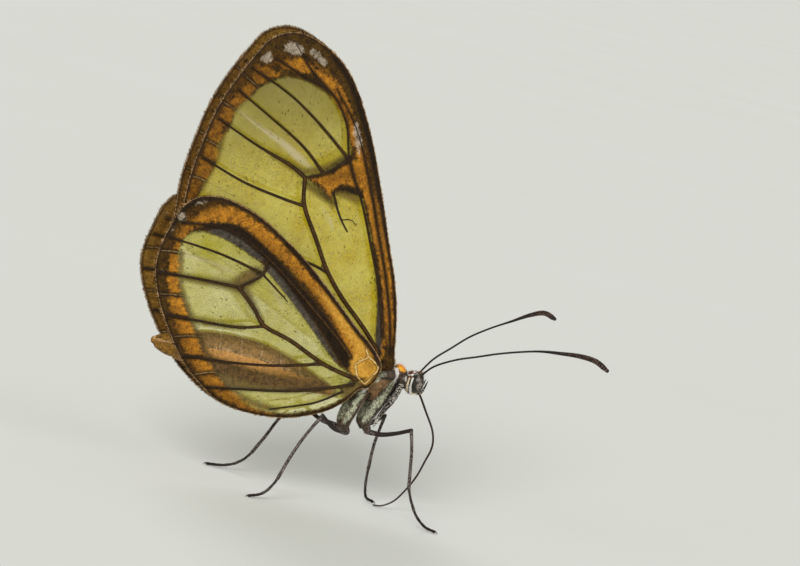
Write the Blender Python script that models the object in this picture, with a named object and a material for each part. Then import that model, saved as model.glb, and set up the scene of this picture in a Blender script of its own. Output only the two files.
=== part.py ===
"""Ithomia butterfly at rest on its feet, wings closed over its back, life-size.

The animal faces +X with its right side towards -Y, and its feet stand on z = 0.
Sizes are millimetres in the animal's own frame: x forward from the middle of the
thorax, y to the left, z up from the floor. SHIFT_X moves the finished meshes so that
the origin lies under the middle of the whole animal.
"""

import math

import bmesh
import bpy
from mathutils import Matrix, Vector
from mathutils.geometry import delaunay_2d_cdt

MM = 0.001
SHIFT_X = 2.4
GAP = 0.25
HEAD_GAP = 0.2

# Wings: an outline and veins as (x, z) points, then the wing's place across the body.
WING_THICKNESS = 0.46
VEIN_HEIGHT = 0.1
VEIN_HALF_WIDTH = 0.24
RIM_STEP = 1.1
VEIN_STEP = 1.6
CAMBER_STEP = 3.0
WING_ROOT = (-0.15, 10.5)
WING_ROOT_Y = 0.8
SPREAD_UP = 0.0224
SPREAD_BACK = 0.0383
HINDWING_OFFSET = 0.75
HINDWING_FLARE = 0.17
FLARE_REACH = 4.0
LEFT_FOREWING_TURN = math.radians(-0.5)
LEFT_HINDWING_TURN = math.radians(2.0)

FOREWING_OUTLINE = [
    (0.4, 11.0), (0.2, 12.5), (-0.4, 15.3), (-1.1, 17.6), (-2.1, 19.9), (-3.6, 23.4), (-5.1, 26.7),
    (-6.4, 29.2), (-8.2, 31.9), (-9.9, 33.4), (-12.0, 34.3), (-13.6, 34.4), (-15.1, 33.6),
    (-16.0, 32.1), (-17.0, 30.0), (-17.8, 27.7), (-18.2, 25.6), (-18.5, 23.2), (-18.6, 21.4),
    (-18.5, 19.4), (-18.3, 17.9), (-17.3, 16.8), (-12.8, 15.1), (-7.5, 12.6), (-3.0, 10.5), (-0.9, 9.5),
]
FOREWING_VEINS = {
    "subcosta": [(-0.1, 12.2), (-1.0, 15.3), (-2.1, 18.2), (-3.9, 22.2), (-5.6, 25.8), (-7.2, 28.6),
                 (-9.3, 31.0)],
    "radius": [(-1.0, 13.4), (-2.2, 16.8), (-3.7, 20.0), (-5.2, 23.0), (-7.0, 26.0), (-7.9, 28.6),
               (-9.6, 30.6), (-12.1, 31.4), (-14.4, 32.2)],
    "cubitus": [(-1.0, 12.1), (-2.7, 13.8), (-4.9, 15.7), (-6.5, 17.4), (-7.9, 19.5), (-9.5, 21.9),
                (-10.0, 24.0)],
    "cell_end": [(-10.0, 24.0), (-8.7, 24.6), (-7.0, 26.0)],
    "media_1": [(-7.0, 26.0), (-9.4, 27.8), (-11.9, 29.4), (-13.8, 30.3), (-16.0, 31.1)],
    "media_2": [(-8.7, 24.6), (-10.8, 26.3), (-14.0, 28.0), (-16.6, 29.3)],
    "media_3": [(-10.0, 24.0), (-11.4, 24.7), (-14.2, 25.6), (-17.5, 26.9)],
    "cubitus_1": [(-9.5, 21.9), (-11.2, 22.1), (-14.5, 22.7), (-17.9, 23.8)],
    "cubitus_2": [(-6.4, 17.3), (-8.2, 17.8), (-13.0, 18.7), (-18.0, 19.9)],
    "anal": [(-2.0, 11.3), (-7.0, 13.6), (-12.6, 15.9), (-17.6, 17.6)],
}
HINDWING_OUTLINE = [
    (-0.7, 11.2), (-1.8, 12.6), (-3.4, 13.8), (-5.9, 15.9), (-8.4, 17.9), (-10.4, 19.2), (-13.0, 20.6),
    (-15.6, 21.3), (-17.5, 21.1), (-18.7, 20.1), (-19.3, 18.4), (-19.7, 16.3), (-19.5, 14.6),
    (-18.6, 12.5), (-17.4, 10.6), (-16.1, 8.9), (-14.4, 7.4), (-12.4, 6.2), (-9.9, 5.8), (-7.0, 6.0),
    (-4.5, 6.9), (-3.0, 8.0), (-2.0, 9.2), (-1.2, 9.6),
]
HINDWING_VEINS = {
    "radius": [(-2.4, 11.1), (-4.0, 12.2), (-7.3, 14.7), (-10.2, 16.8), (-12.6, 18.2), (-15.3, 19.1),
               (-18.4, 18.9)],
    "cell_end": [(-11.5, 17.5), (-11.5, 16.3), (-13.1, 15.0)],
    "media_1": [(-11.7, 16.4), (-15.2, 17.2), (-19.1, 17.6)],
    "media_3": [(-13.1, 15.0), (-16.0, 15.0), (-19.3, 14.9)],
    "cubitus": [(-2.4, 9.9), (-5.3, 10.6), (-8.1, 11.8), (-10.4, 12.5), (-11.6, 13.7), (-13.1, 15.0)],
    "cubitus_1": [(-10.4, 12.5), (-12.6, 12.0), (-15.9, 11.9), (-18.0, 11.9)],
    "cubitus_2": [(-5.3, 10.6), (-8.5, 9.8), (-12.3, 9.3), (-15.9, 9.1)],
    "anal_2": [(-2.6, 9.5), (-6.6, 8.2), (-11.4, 7.4), (-13.6, 7.1)],
    "anal_3": [(-3.3, 8.8), (-5.3, 7.5), (-8.5, 6.4)],
}

# Body: the thorax, head and collar are egg shapes, tilted nose up.
BODY_TILT = math.radians(28)
THORAX = {"centre": (-0.45, 0.0, 9.65), "radii": (1.75, 1.52, 1.42), "tilt": BODY_TILT}
COLLAR = {"centre": (1.3, 0.0, 10.6), "radii": (0.62, 0.85, 0.95), "tilt": BODY_TILT}
HEAD = {"centre": (2.54, 0.0, 10.31), "radii": (0.74, 0.98, 1.02), "tilt": 0.0}
EYE_BASE_Y = 0.5
EYE_CENTRE = (2.6, 10.37)
EYE_RADII = (0.6, 0.62, 0.82)
BODY_MESH = {"sides": 24, "rings": 14}
CUTTER_MESH = {"sides": 28, "rings": 18}

# Abdomen: x, z, half depth and half width at each station from the waist to the tip.
ABDOMEN = [
    (-1.6, 8.95, 0.62, 0.62), (-2.7, 8.5, 0.52, 0.52), (-3.6, 8.4, 0.52, 0.52), (-5.0, 8.7, 0.82, 0.8),
    (-6.5, 8.95, 1.15, 1.0), (-8.1, 9.2, 1.5, 1.2), (-9.8, 9.45, 1.72, 1.32), (-11.6, 9.55, 1.7, 1.35),
    (-13.6, 9.6, 1.58, 1.3), (-15.4, 9.5, 1.35, 1.15), (-16.6, 9.4, 1.0, 0.9), (-17.4, 9.4, 0.72, 0.65),
    (-18.15, 9.5, 0.35, 0.35),
]
ABDOMEN_NODES = {
    "abdomen_front": (0.0, 3.6), "abdomen_middle": (3.6, 6.4), "abdomen_rear": (6.4, 9.0),
    "abdomen_tip": (9.0, 12.0),
}
ABDOMEN_SIDES = 18
STATION_SPACING = 1.75
SEGMENT_RING_DEPTH = 0.05
ABDOMEN_RINGS_PER_STATION = 3

# Limbs: each a chain of named lengths, with the points of its middle line and radii.
LEG_RADIUS = 0.25
TOE_RADIUS = 0.2
MID_COXA = [(0.2, 0.85, 8.7), (-0.5, 0.88, 7.0), (-0.4, 0.9, 6.05)]
HIND_COXA = [(-1.4, 0.78, 8.7), (-2.15, 0.86, 6.8), (-2.0, 0.9, 5.65)]
COXA_RADII = (0.52, 0.34)
RIGHT_MIDLEG = [
    ("coxa", MID_COXA),
    ("femur", [(-0.4, 0.9, 6.05), (0.5, 1.45, 6.1), (1.5, 2.0, 6.5), (2.5, 2.6, 7.1)]),
    ("tibia", [(2.5, 2.6, 7.1), (2.8, 3.0, 5.7), (2.95, 3.4, 4.3), (3.1, 3.8, 2.9)]),
    ("tarsus", [(3.1, 3.8, 2.9), (3.5, 4.0, 1.95), (4.1, 4.2, 1.0), (4.9, 4.35, 0.35), (5.7, 4.4, 0.14)]),
]
LEFT_MIDLEG = [
    ("coxa", MID_COXA),
    ("femur", [(-0.4, 0.9, 6.05), (0.55, 1.5, 6.45), (1.5, 2.1, 7.0)]),
    ("tibia", [(1.5, 2.1, 7.0), (1.25, 2.2, 4.7), (1.3, 2.3, 2.6)]),
    ("tarsus", [(1.3, 2.3, 2.6), (1.4, 2.35, 1.4), (1.7, 2.45, 0.4), (2.3, 2.5, 0.14)]),
]
RIGHT_HINDLEG = [
    ("coxa", HIND_COXA),
    ("femur", [(-2.0, 0.9, 5.65), (-3.3, 1.9, 5.95), (-4.6, 2.9, 6.9)]),
    ("tibia", [(-4.6, 2.9, 6.9), (-5.7, 3.4, 5.1), (-6.5, 3.8, 3.35), (-7.1, 4.2, 1.75)]),
    ("tarsus", [(-7.1, 4.2, 1.75), (-7.6, 4.4, 0.9), (-8.2, 4.5, 0.38), (-9.0, 4.6, 0.14)]),
]
LEFT_HINDLEG = [
    ("coxa", HIND_COXA),
    ("femur", [(-2.0, 0.9, 5.65), (-3.5, 2.1, 5.75), (-5.2, 3.1, 6.7)]),
    ("tibia", [(-5.2, 3.1, 6.7), (-6.3, 3.35, 4.9), (-6.9, 3.6, 3.4), (-7.6, 3.9, 1.8)]),
    ("tarsus", [(-7.6, 3.9, 1.8), (-8.3, 4.1, 0.85), (-9.4, 4.3, 0.3), (-10.7, 4.4, 0.14)]),
]
FORELEG = [
    ("upper", [(1.35, 0.6, 9.9), (1.1, 0.62, 8.5)]),
    ("lower", [(1.1, 0.62, 8.5), (0.7, 0.62, 7.3)]),
]
PALP = [(3.0, 0.36, 9.7), (3.45, 0.38, 9.65), (3.62, 0.38, 10.1), (3.66, 0.36, 10.75)]
PALP_RADII = (0.24, 0.14)
PALP_STEP = 0.3
RIGHT_ANTENNA = [
    (2.8, 0.3, 10.9), (3.5, 1.1, 12.1), (4.7, 2.0, 13.0), (6.0, 2.9, 13.7), (7.3, 3.8, 14.4),
    (8.6, 4.7, 15.0), (10.0, 5.5, 15.5), (11.4, 6.4, 15.8), (12.5, 7.2, 16.0), (13.5, 8.1, 16.0),
    (14.3, 8.9, 15.6),
]
LEFT_ANTENNA = [
    (2.8, 0.3, 10.9), (3.9, 1.3, 12.1), (5.4, 2.5, 13.1), (7.0, 3.6, 14.2), (8.8, 4.6, 15.1),
    (10.6, 5.7, 15.8), (12.2, 6.8, 16.4), (13.7, 7.9, 16.7), (15.0, 8.9, 16.3),
]
ANTENNA_SHAFT_SHARE = 0.74
ANTENNA_RADIUS = 0.25
ANTENNA_STEP = 0.5
CLUB_RADIUS = 0.32
CLUB_TAPER = 0.5
PROBOSCIS = [
    (3.0, 0.0, 9.75), (3.4, 0.0, 9.2), (4.0, 0.0, 8.3), (4.8, 0.0, 7.1), (5.15, 0.1, 6.2), (5.2, 0.2, 5.4),
    (5.0, 0.3, 4.5), (4.75, 0.5, 3.3), (4.4, 0.7, 2.3), (3.8, 0.9, 1.15), (3.35, 1.05, 0.6), (2.7, 1.15, 0.2),
    (2.1, 1.25, 0.2),
]
PROBOSCIS_SHARES = {"upper": (0.0, 0.36), "middle": (0.36, 0.7), "tip": (0.7, 1.0)}
PROBOSCIS_RADIUS = 0.25
PROBOSCIS_STEP = 0.45

# Finish of each kind of part: sRGB colour, roughness.
FINISHES = {
    "forewing": ("B9B655", 0.4), "hindwing": ("B5702A", 0.45), "thorax": ("5A4230", 0.8),
    "collar": ("E08A20", 0.8), "head": ("4A3A30", 0.8), "eye": ("3C3A38", 0.2), "abdomen": ("8E6A48", 0.7),
    "leg": ("3A2A1E", 0.6), "antenna": ("1E1410", 0.6), "proboscis": ("2A1C14", 0.4),
    "palp": ("8A8078", 0.8),
}


def srgb_to_linear(code):
    """Turn a six-digit sRGB colour code into a linear RGBA tuple."""
    channels = [int(code[k:k + 2], 16) / 255 for k in (0, 2, 4)]
    linear = [c / 12.92 if c <= 0.04045 else ((c + 0.055) / 1.055) ** 2.4 for c in channels]
    return (*linear, 1.0)


def finish(kind):
    """Return the material of one kind of part, making it at its first use."""
    name = f"{kind}_finish"
    if name not in bpy.data.materials:
        colour, roughness = FINISHES[kind]
        material = bpy.data.materials.new(name)
        material.use_nodes = True
        shader = material.node_tree.nodes["Principled BSDF"]
        shader.inputs["Base Color"].default_value = srgb_to_linear(colour)
        shader.inputs["Roughness"].default_value = roughness
        shader.inputs["Metallic"].default_value = 0.0
    return bpy.data.materials[name]


def catmull_rom(points, steps, closed=False):
    """Return points along a smooth curve through the given ones, with steps to each span."""
    points = [Vector(p) for p in points]
    count = len(points)
    spans = count if closed else count - 1
    curve = []
    for k in range(spans):
        if closed:
            a, b, c, d = (points[(k + j) % count] for j in (-1, 0, 1, 2))
        else:
            b, c = points[k], points[k + 1]
            a = points[k - 1] if k else b + (b - c)
            d = points[k + 2] if k + 2 < count else c + (c - b)
        for j in range(steps):
            t = j / steps
            curve.append(0.5 * (2 * b + (c - a) * t + (2 * a - 5 * b + 4 * c - d) * t * t
                                + (3 * b - a - 3 * c + d) * t ** 3))
    if not closed:
        curve.append(points[-1])
    return curve


def spaced(curve, step, closed=False):
    """Return points at even spacing, close to step, along a polyline."""
    line = list(curve) + ([curve[0]] if closed else [])
    lengths = [0.0]
    for a, b in zip(line, line[1:]):
        lengths.append(lengths[-1] + (b - a).length)
    count = max(1, round(lengths[-1] / step))
    result, k = [], 0
    for j in range(count if closed else count + 1):
        target = lengths[-1] * j / count
        while k < len(line) - 2 and lengths[k + 1] < target:
            k += 1
        span = lengths[k + 1] - lengths[k]
        result.append(line[k].lerp(line[k + 1], (target - lengths[k]) / span))
    return result


def mesh_object(name, kind, vertices, faces, smooth_angle=60):
    """Make a named object from vertices in millimetres and faces."""
    mesh = bpy.data.meshes.new(name)
    mesh.from_pydata([((v[0] + SHIFT_X) * MM, v[1] * MM, v[2] * MM) for v in vertices], [], faces)
    work = bmesh.new()
    work.from_mesh(mesh)
    bmesh.ops.triangulate(work, faces=work.faces)
    bmesh.ops.recalc_face_normals(work, faces=work.faces)
    work.to_mesh(mesh)
    work.free()
    mesh.materials.append(finish(kind))
    mesh.shade_smooth()
    mesh.set_sharp_from_angle(angle=math.radians(smooth_angle))
    part = bpy.data.objects.new(name, mesh)
    bpy.context.scene.collection.objects.link(part)
    return part


def ring_faces(first, second, sides):
    """Return the quads between two rings whose vertices start at the given indices."""
    return [(first + k, first + (k + 1) % sides, second + (k + 1) % sides, second + k) for k in range(sides)]


def egg(name, kind, shape, sides, rings, grow=0.0):
    """Make an egg shape from its centre, radii and tilt, grown by a clearance if it is a cutter."""
    turn = Matrix.Rotation(-shape["tilt"], 3, "Y")
    centre, radii = Vector(shape["centre"]), [r + grow for r in shape["radii"]]
    vertices, faces = [], []
    for j in range(1, rings):
        along = math.pi * j / rings
        for k in range(sides):
            round_angle = 2 * math.pi * k / sides
            point = Vector((math.cos(along) * radii[0], math.sin(along) * math.cos(round_angle) * radii[1],
                            math.sin(along) * math.sin(round_angle) * radii[2]))
            vertices.append(centre + turn @ point)
        if j > 1:
            faces += ring_faces((j - 2) * sides, (j - 1) * sides, sides)
    front, back = len(vertices), len(vertices) + 1
    vertices += [centre + turn @ Vector((radii[0], 0, 0)), centre + turn @ Vector((-radii[0], 0, 0))]
    last = (rings - 2) * sides
    faces += [(front, (k + 1) % sides, k) for k in range(sides)]
    faces += [(back, last + k, last + (k + 1) % sides) for k in range(sides)]
    return mesh_object(name, kind, vertices, faces)


def dome(name, kind, side, base_y, radii, sides=20, rings=7):
    """Make half an egg on a flat base, bulging out to one side of the head."""
    centre = Vector((EYE_CENTRE[0], side * base_y, EYE_CENTRE[1]))
    vertices, faces = [], []
    for j in range(rings):
        lift = 0.5 * math.pi * j / rings
        for k in range(sides):
            angle = 2 * math.pi * k / sides
            vertices.append(centre + Vector((math.cos(lift) * math.cos(angle) * radii[0],
                                             side * math.sin(lift) * radii[1],
                                             math.cos(lift) * math.sin(angle) * radii[2])))
        if j:
            faces += ring_faces((j - 1) * sides, j * sides, sides)
    pole = len(vertices)
    vertices.append(centre + Vector((0, side * radii[1], 0)))
    faces.append(tuple(range(sides)))
    faces += [((rings - 1) * sides + k, (rings - 1) * sides + (k + 1) % sides, pole) for k in range(sides)]
    return mesh_object(name, kind, vertices, faces)


def mitre(before, joint, after):
    """Return the unit normal of the plane that halves the bend at a joint."""
    return ((joint - before).normalized() + (after - joint).normalized()).normalized()


def tube(name, kind, points, radii, start=None, end=None, sides=8, floor=None):
    """Make a tube along points, its ends cut by planes given as (point, normal)."""
    points = [Vector(p) for p in points]
    count = len(points)
    vertices, faces = [], []
    previous_side = None
    for j, point in enumerate(points):
        ahead = points[min(j + 1, count - 1)] - points[max(j - 1, 0)]
        direction = ahead.normalized()
        side = previous_side or (Vector((0, 1, 0)) if abs(direction.y) < 0.8 else Vector((0, 0, 1)))
        side = (side - direction * side.dot(direction)).normalized()
        previous_side, other = side, direction.cross(side)
        plane = start if j == 0 else end if j == count - 1 else None
        span = points[1] - points[0] if j == 0 else points[-1] - points[-2]
        for k in range(sides):
            angle = 2 * math.pi * (k + 0.5) / sides
            vertex = point + (side * math.cos(angle) + other * math.sin(angle)) * radii[j]
            if plane:
                place, normal = plane
                along = span.normalized()
                vertex += along * ((place - vertex).dot(normal) / along.dot(normal))
            if floor is not None:
                vertex.z = max(vertex.z, floor)
            vertices.append(vertex)
        if j:
            faces += ring_faces((j - 1) * sides, j * sides, sides)
    faces += [tuple(range(sides)), tuple(range((count - 1) * sides, count * sides))]
    return mesh_object(name, kind, vertices, faces, smooth_angle=50)


def limb(stem, kind, lengths, radii, side, floor=None):
    """Make a jointed limb: tubes that meet at halved bends, a gap apart."""
    chain = [(part, [Vector((p[0], side * p[1], p[2])) for p in points]) for part, points in lengths]
    made = {}
    for k, (part, points) in enumerate(chain):
        start = end = None
        if k:
            joint = points[0]
            normal = mitre(chain[k - 1][1][-2], joint, points[1])
            start = (joint + normal * GAP / 2, normal)
        if k < len(chain) - 1:
            joint = points[-1]
            normal = mitre(points[-2], joint, chain[k + 1][1][1])
            end = (joint - normal * GAP / 2, normal)
        first, last = radii[part]
        widths = [first + (last - first) * j / (len(points) - 1) for j in range(len(points))]
        made[part] = tube(f"{stem}_{part}", kind, points, widths, start, end, floor=floor)
    return made


def share(curve, first, last):
    """Return the stretch of an evenly spaced curve between two shares of its length."""
    top = len(curve) - 1
    return curve[round(first * top):round(last * top) + 1]


def keep_largest(part):
    """Keep only the largest closed surface of a part."""
    work = bmesh.new()
    work.from_mesh(part.data)
    work.faces.ensure_lookup_table()
    unseen, islands = set(work.faces), []
    while unseen:
        stack, island = [unseen.pop()], []
        while stack:
            face = stack.pop()
            island.append(face)
            for edge in face.edges:
                for other in edge.link_faces:
                    if other in unseen:
                        unseen.discard(other)
                        stack.append(other)
        islands.append(island)
    islands.sort(key=lambda faces: sum(f.calc_area() for f in faces), reverse=True)
    extra = [f for island in islands[1:] for f in island]
    bmesh.ops.delete(work, geom=extra, context="FACES")
    bmesh.ops.triangulate(work, faces=work.faces)
    work.to_mesh(part.data)
    work.free()


def cut(part, *cutters):
    """Cut a part by each cutter in turn and keep its largest surface."""
    for cutter in cutters:
        modifier = part.modifiers.new("clearance", "BOOLEAN")
        modifier.operation, modifier.solver, modifier.object = "DIFFERENCE", "EXACT", cutter
        shape = bpy.data.meshes.new_from_object(part.evaluated_get(bpy.context.evaluated_depsgraph_get()))
        part.modifiers.remove(modifier)
        part.data = shape
        keep_largest(part)


def smooth_step(value):
    """Return a value from 0 to 1 that leaves both ends gently."""
    value = min(1.0, max(0.0, value))
    return value * value * (3 - 2 * value)


def wing_y(x, z, hind):
    """Return how far from the middle plane a wing's own middle lies at a point."""
    back, up = WING_ROOT[0] - x, z - WING_ROOT[1]
    place = WING_ROOT_Y + SPREAD_UP * up + SPREAD_BACK * back
    if hind:
        place += HINDWING_OFFSET + HINDWING_FLARE * smooth_step(math.hypot(back, up) / FLARE_REACH)
    return place


def distance_to(point, line):
    """Return the least distance from a 2D point to a polyline."""
    best = math.inf
    for a, b in zip(line, line[1:]):
        span = b - a
        t = min(1.0, max(0.0, (point - a).dot(span) / span.length_squared))
        best = min(best, (a + span * t - point).length)
    return best


def inside(point, loop):
    """Say whether a 2D point lies inside a closed loop."""
    odd = False
    for a, b in zip(loop, loop[1:] + loop[:1]):
        if (a.y > point.y) != (b.y > point.y) and point.x < (b.x - a.x) * (point.y - a.y) / (b.y - a.y) + a.x:
            odd = not odd
    return odd


def flank(line, offset):
    """Return a line beside a vein, at an offset to its left."""
    result = []
    for k, point in enumerate(line):
        along = (line[min(k + 1, len(line) - 1)] - line[max(k - 1, 0)]).normalized()
        result.append(point + Vector((-along.y, along.x)) * offset)
    return result


def wing(name, kind, outline, veins, side, hind, turn):
    """Make a wing: one slab whose veins are ridges raised in both faces."""
    rim = spaced(catmull_rom(outline, 8, closed=True), RIM_STEP, closed=True)
    lines = [spaced(catmull_rom(vein, 6), VEIN_STEP) for vein in veins.values()]
    points, edges = list(rim), [(k, (k + 1) % len(rim)) for k in range(len(rim))]
    for line in lines:
        for track in (line, flank(line, VEIN_HALF_WIDTH), flank(line, -VEIN_HALF_WIDTH)):
            first = len(points)
            points += track
            edges += [(first + k, first + k + 1) for k in range(len(track) - 1)]
    low_x, high_x = min(p.x for p in rim), max(p.x for p in rim)
    low_z, high_z = min(p.y for p in rim), max(p.y for p in rim)
    for i in range(int((high_x - low_x) / CAMBER_STEP) + 1):
        for j in range(int((high_z - low_z) / CAMBER_STEP) + 1):
            spot = Vector((low_x + CAMBER_STEP * i, low_z + CAMBER_STEP * j))
            clear = min(distance_to(spot, line) for line in lines) > 2 * VEIN_HALF_WIDTH
            if clear and inside(spot, rim) and distance_to(spot, rim + rim[:1]) > RIM_STEP / 2:
                points.append(spot)
    flat, _, triangles, *_ = delaunay_2d_cdt(points, edges, [], 1, 1e-4)
    sine, cosine = math.sin(turn), math.cos(turn)
    outer, inner = [], []
    for point in flat:
        ridge = VEIN_HEIGHT * max(0.0, 1 - min(distance_to(point, line) for line in lines) / VEIN_HALF_WIDTH)
        half = WING_THICKNESS / 2 + ridge
        x, z = point.x - WING_ROOT[0], point.y - WING_ROOT[1]
        place = (WING_ROOT[0] + x * cosine - z * sine, WING_ROOT[1] + x * sine + z * cosine)
        middle = wing_y(point.x, point.y, hind)
        outer.append((place[0], side * (middle + half), place[1]))
        inner.append((place[0], side * (middle - half), place[1]))
    count = len(flat)
    faces = [tuple(t) for t in triangles] + [tuple(count + k for k in reversed(t)) for t in triangles]
    borders = {}
    for t in triangles:
        for a, b in zip(t, t[1:] + t[:1]):
            borders[(a, b)] = True
    for a, b in borders:
        if (b, a) not in borders:
            faces += [(b, a, count + a), (b, count + a, count + b)]
    return mesh_object(name, kind, outer + inner, faces, smooth_angle=40)


def abdomen_ring(position):
    """Return the ring of the abdomen at a place counted in stations."""
    k = min(int(position), len(ABDOMEN) - 2)
    t = position - k
    a, b, c, d = (ABDOMEN[min(max(k + j, 0), len(ABDOMEN) - 1)] for j in (-1, 0, 1, 2))
    x, z, depth, width = (0.5 * (2 * q + (r - p) * t + (2 * p - 5 * q + 4 * r - s) * t * t
                                 + (3 * q - p - 3 * r + s) * t ** 3) for p, q, r, s in zip(a, b, c, d))
    slope = Vector((b[0] - c[0], b[1] - c[1])).normalized()
    crease = SEGMENT_RING_DEPTH * (1 if abs(position - round(position)) < 1e-6 else 0)
    depth, width = depth - crease, width - crease
    ring = []
    for j in range(ABDOMEN_SIDES):
        angle = 2 * math.pi * j / ABDOMEN_SIDES
        up = depth * math.sin(angle)
        ring.append(Vector((x - slope.y * up, width * math.cos(angle), z + slope.x * up)))
    return ring


def abdomen_length(name, first, last):
    """Make one length of the abdomen, with a half gap at each end."""
    half_gap = GAP / 2 / STATION_SPACING
    places = [first + half_gap]
    steps = math.ceil(last * ABDOMEN_RINGS_PER_STATION)
    for k in range(math.floor(first * ABDOMEN_RINGS_PER_STATION) + 1, steps):
        place = k / ABDOMEN_RINGS_PER_STATION
        if places[0] + half_gap < place < last - 2 * half_gap:
            places.append(place)
    places.append(last - half_gap)
    vertices, faces = [], []
    for j, place in enumerate(places):
        vertices += abdomen_ring(place)
        if j:
            faces += ring_faces((j - 1) * ABDOMEN_SIDES, j * ABDOMEN_SIDES, ABDOMEN_SIDES)
    last_ring = (len(places) - 1) * ABDOMEN_SIDES
    faces += [tuple(range(ABDOMEN_SIDES)), tuple(range(last_ring, last_ring + ABDOMEN_SIDES))]
    return mesh_object(name, "abdomen", vertices, faces)


def remove(*parts):
    """Take cutters out of the scene once they have done their work."""
    for part in parts:
        bpy.data.objects.remove(part)


def build():
    """Build every part of the butterfly."""
    for old in list(bpy.data.objects):
        bpy.data.objects.remove(old)

    thorax_space = egg("thorax_space", "thorax", THORAX, grow=GAP, **CUTTER_MESH)
    head_space = egg("head_space", "head", HEAD, grow=HEAD_GAP, **CUTTER_MESH)
    collar_space = egg("collar_space", "collar", COLLAR, grow=HEAD_GAP, **CUTTER_MESH)

    egg("thorax", "thorax", THORAX, **BODY_MESH)
    collar = egg("collar", "collar", COLLAR, **BODY_MESH)
    cut(collar, thorax_space, head_space)
    head = egg("head", "head", HEAD, **BODY_MESH)

    for side, word in ((-1, "right"), (1, "left")):
        dome(f"eye_{word}", "eye", side, EYE_BASE_Y, EYE_RADII)
        socket = dome("eye_space", "eye", side, EYE_BASE_Y - HEAD_GAP, [r + HEAD_GAP for r in EYE_RADII])
        cut(head, socket)
        remove(socket)

        palp_line = spaced(catmull_rom([(x, side * y, z) for x, y, z in PALP], 6), PALP_STEP)
        count = len(palp_line) - 1
        radii = [PALP_RADII[0] + (PALP_RADII[1] - PALP_RADII[0]) * (k / count) ** 2 for k in range(count + 1)]
        cut(tube(f"palp_{word}", "palp", palp_line, radii), head_space)

        antenna = RIGHT_ANTENNA if side < 0 else LEFT_ANTENNA
        line = spaced(catmull_rom([(x, side * y, z) for x, y, z in antenna], 8), ANTENNA_STEP)
        split = round(ANTENNA_SHAFT_SHARE * (len(line) - 1))
        normal = mitre(line[split - 1], line[split], line[split + 1])
        shaft = tube(f"antenna_{word}_shaft", "antenna", line[:split + 1], [ANTENNA_RADIUS] * (split + 1),
                     end=(line[split] - normal * GAP / 2, normal))
        cut(shaft, head_space)
        club = line[split:]
        last = len(club) - 1
        swell = [ANTENNA_RADIUS + (CLUB_RADIUS - ANTENNA_RADIUS) * smooth_step(2 * k / last)
                 - CLUB_TAPER * CLUB_RADIUS * smooth_step(3 * k / last - 2) for k in range(last + 1)]
        tube(f"antenna_{word}_club", "antenna", club, swell, start=(line[split] + normal * GAP / 2, normal))

        leg_radii = {"coxa": COXA_RADII, "femur": (LEG_RADIUS, LEG_RADIUS), "tibia": (LEG_RADIUS, LEG_RADIUS),
                     "tarsus": (LEG_RADIUS, TOE_RADIUS)}
        for stem, lengths in (("midleg", RIGHT_MIDLEG if side < 0 else LEFT_MIDLEG),
                              ("hindleg", RIGHT_HINDLEG if side < 0 else LEFT_HINDLEG)):
            leg = limb(f"{stem}_{word}", "leg", lengths, leg_radii, side, floor=0.0)
            cut(leg["coxa"], thorax_space)
        foreleg = limb(f"foreleg_{word}", "leg", FORELEG,
                       {"upper": (LEG_RADIUS, LEG_RADIUS), "lower": (LEG_RADIUS, TOE_RADIUS)}, side)
        cut(foreleg["upper"], collar_space, thorax_space)

        fore = wing(f"forewing_{word}", "forewing", FOREWING_OUTLINE, FOREWING_VEINS, side, False,
                    LEFT_FOREWING_TURN if side > 0 else 0.0)
        cut(fore, thorax_space)
        hind = wing(f"hindwing_{word}", "hindwing", HINDWING_OUTLINE, HINDWING_VEINS, side, True,
                    LEFT_HINDWING_TURN if side > 0 else 0.0)
        cut(hind, thorax_space)

    sucker = spaced(catmull_rom(PROBOSCIS, 8), PROBOSCIS_STEP)
    top = len(sucker) - 1
    for part, (first, last) in PROBOSCIS_SHARES.items():
        stretch = share(sucker, first, last)
        begin = end = None
        if first > 0:
            k = round(first * top)
            normal = mitre(sucker[k - 1], sucker[k], sucker[k + 1])
            begin = (sucker[k] + normal * GAP / 2, normal)
        if last < 1:
            k = round(last * top)
            normal = mitre(sucker[k - 1], sucker[k], sucker[k + 1])
            end = (sucker[k] - normal * GAP / 2, normal)
        length = tube(f"proboscis_{part}", "proboscis", stretch, [PROBOSCIS_RADIUS] * len(stretch),
                      begin, end, floor=0.0)
        if part == "upper":
            cut(length, head_space)

    for name, (first, last) in ABDOMEN_NODES.items():
        length = abdomen_length(name, first, last)
        if first == 0.0:
            cut(length, thorax_space)
    remove(thorax_space, head_space, collar_space)


build()
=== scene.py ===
"""Looks of the ithomia butterfly: wings, body, coat, eyes, legs and feelers, with floor, light and camera.

Shapes are worked out in millimetres in the animal's own frame: x forward from the middle of the
thorax, y to its left, z up from the floor. Frame turns them into metres in the frame of the solids,
by the place of the thorax there. A field is a depth in millimetres inside the edge of a mark,
kept on the mesh as an attribute, so that skin and coat paint the same markings.
"""

import logging
import math
from dataclasses import dataclass, field
from enum import Enum
from functools import partial

import bpy
import numpy as np
from bpy.types import Material, Mesh, Node, NodeSocket, NodeTree, Object
from mathutils import Matrix, Vector
from mathutils.geometry import delaunay_2d_cdt

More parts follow.
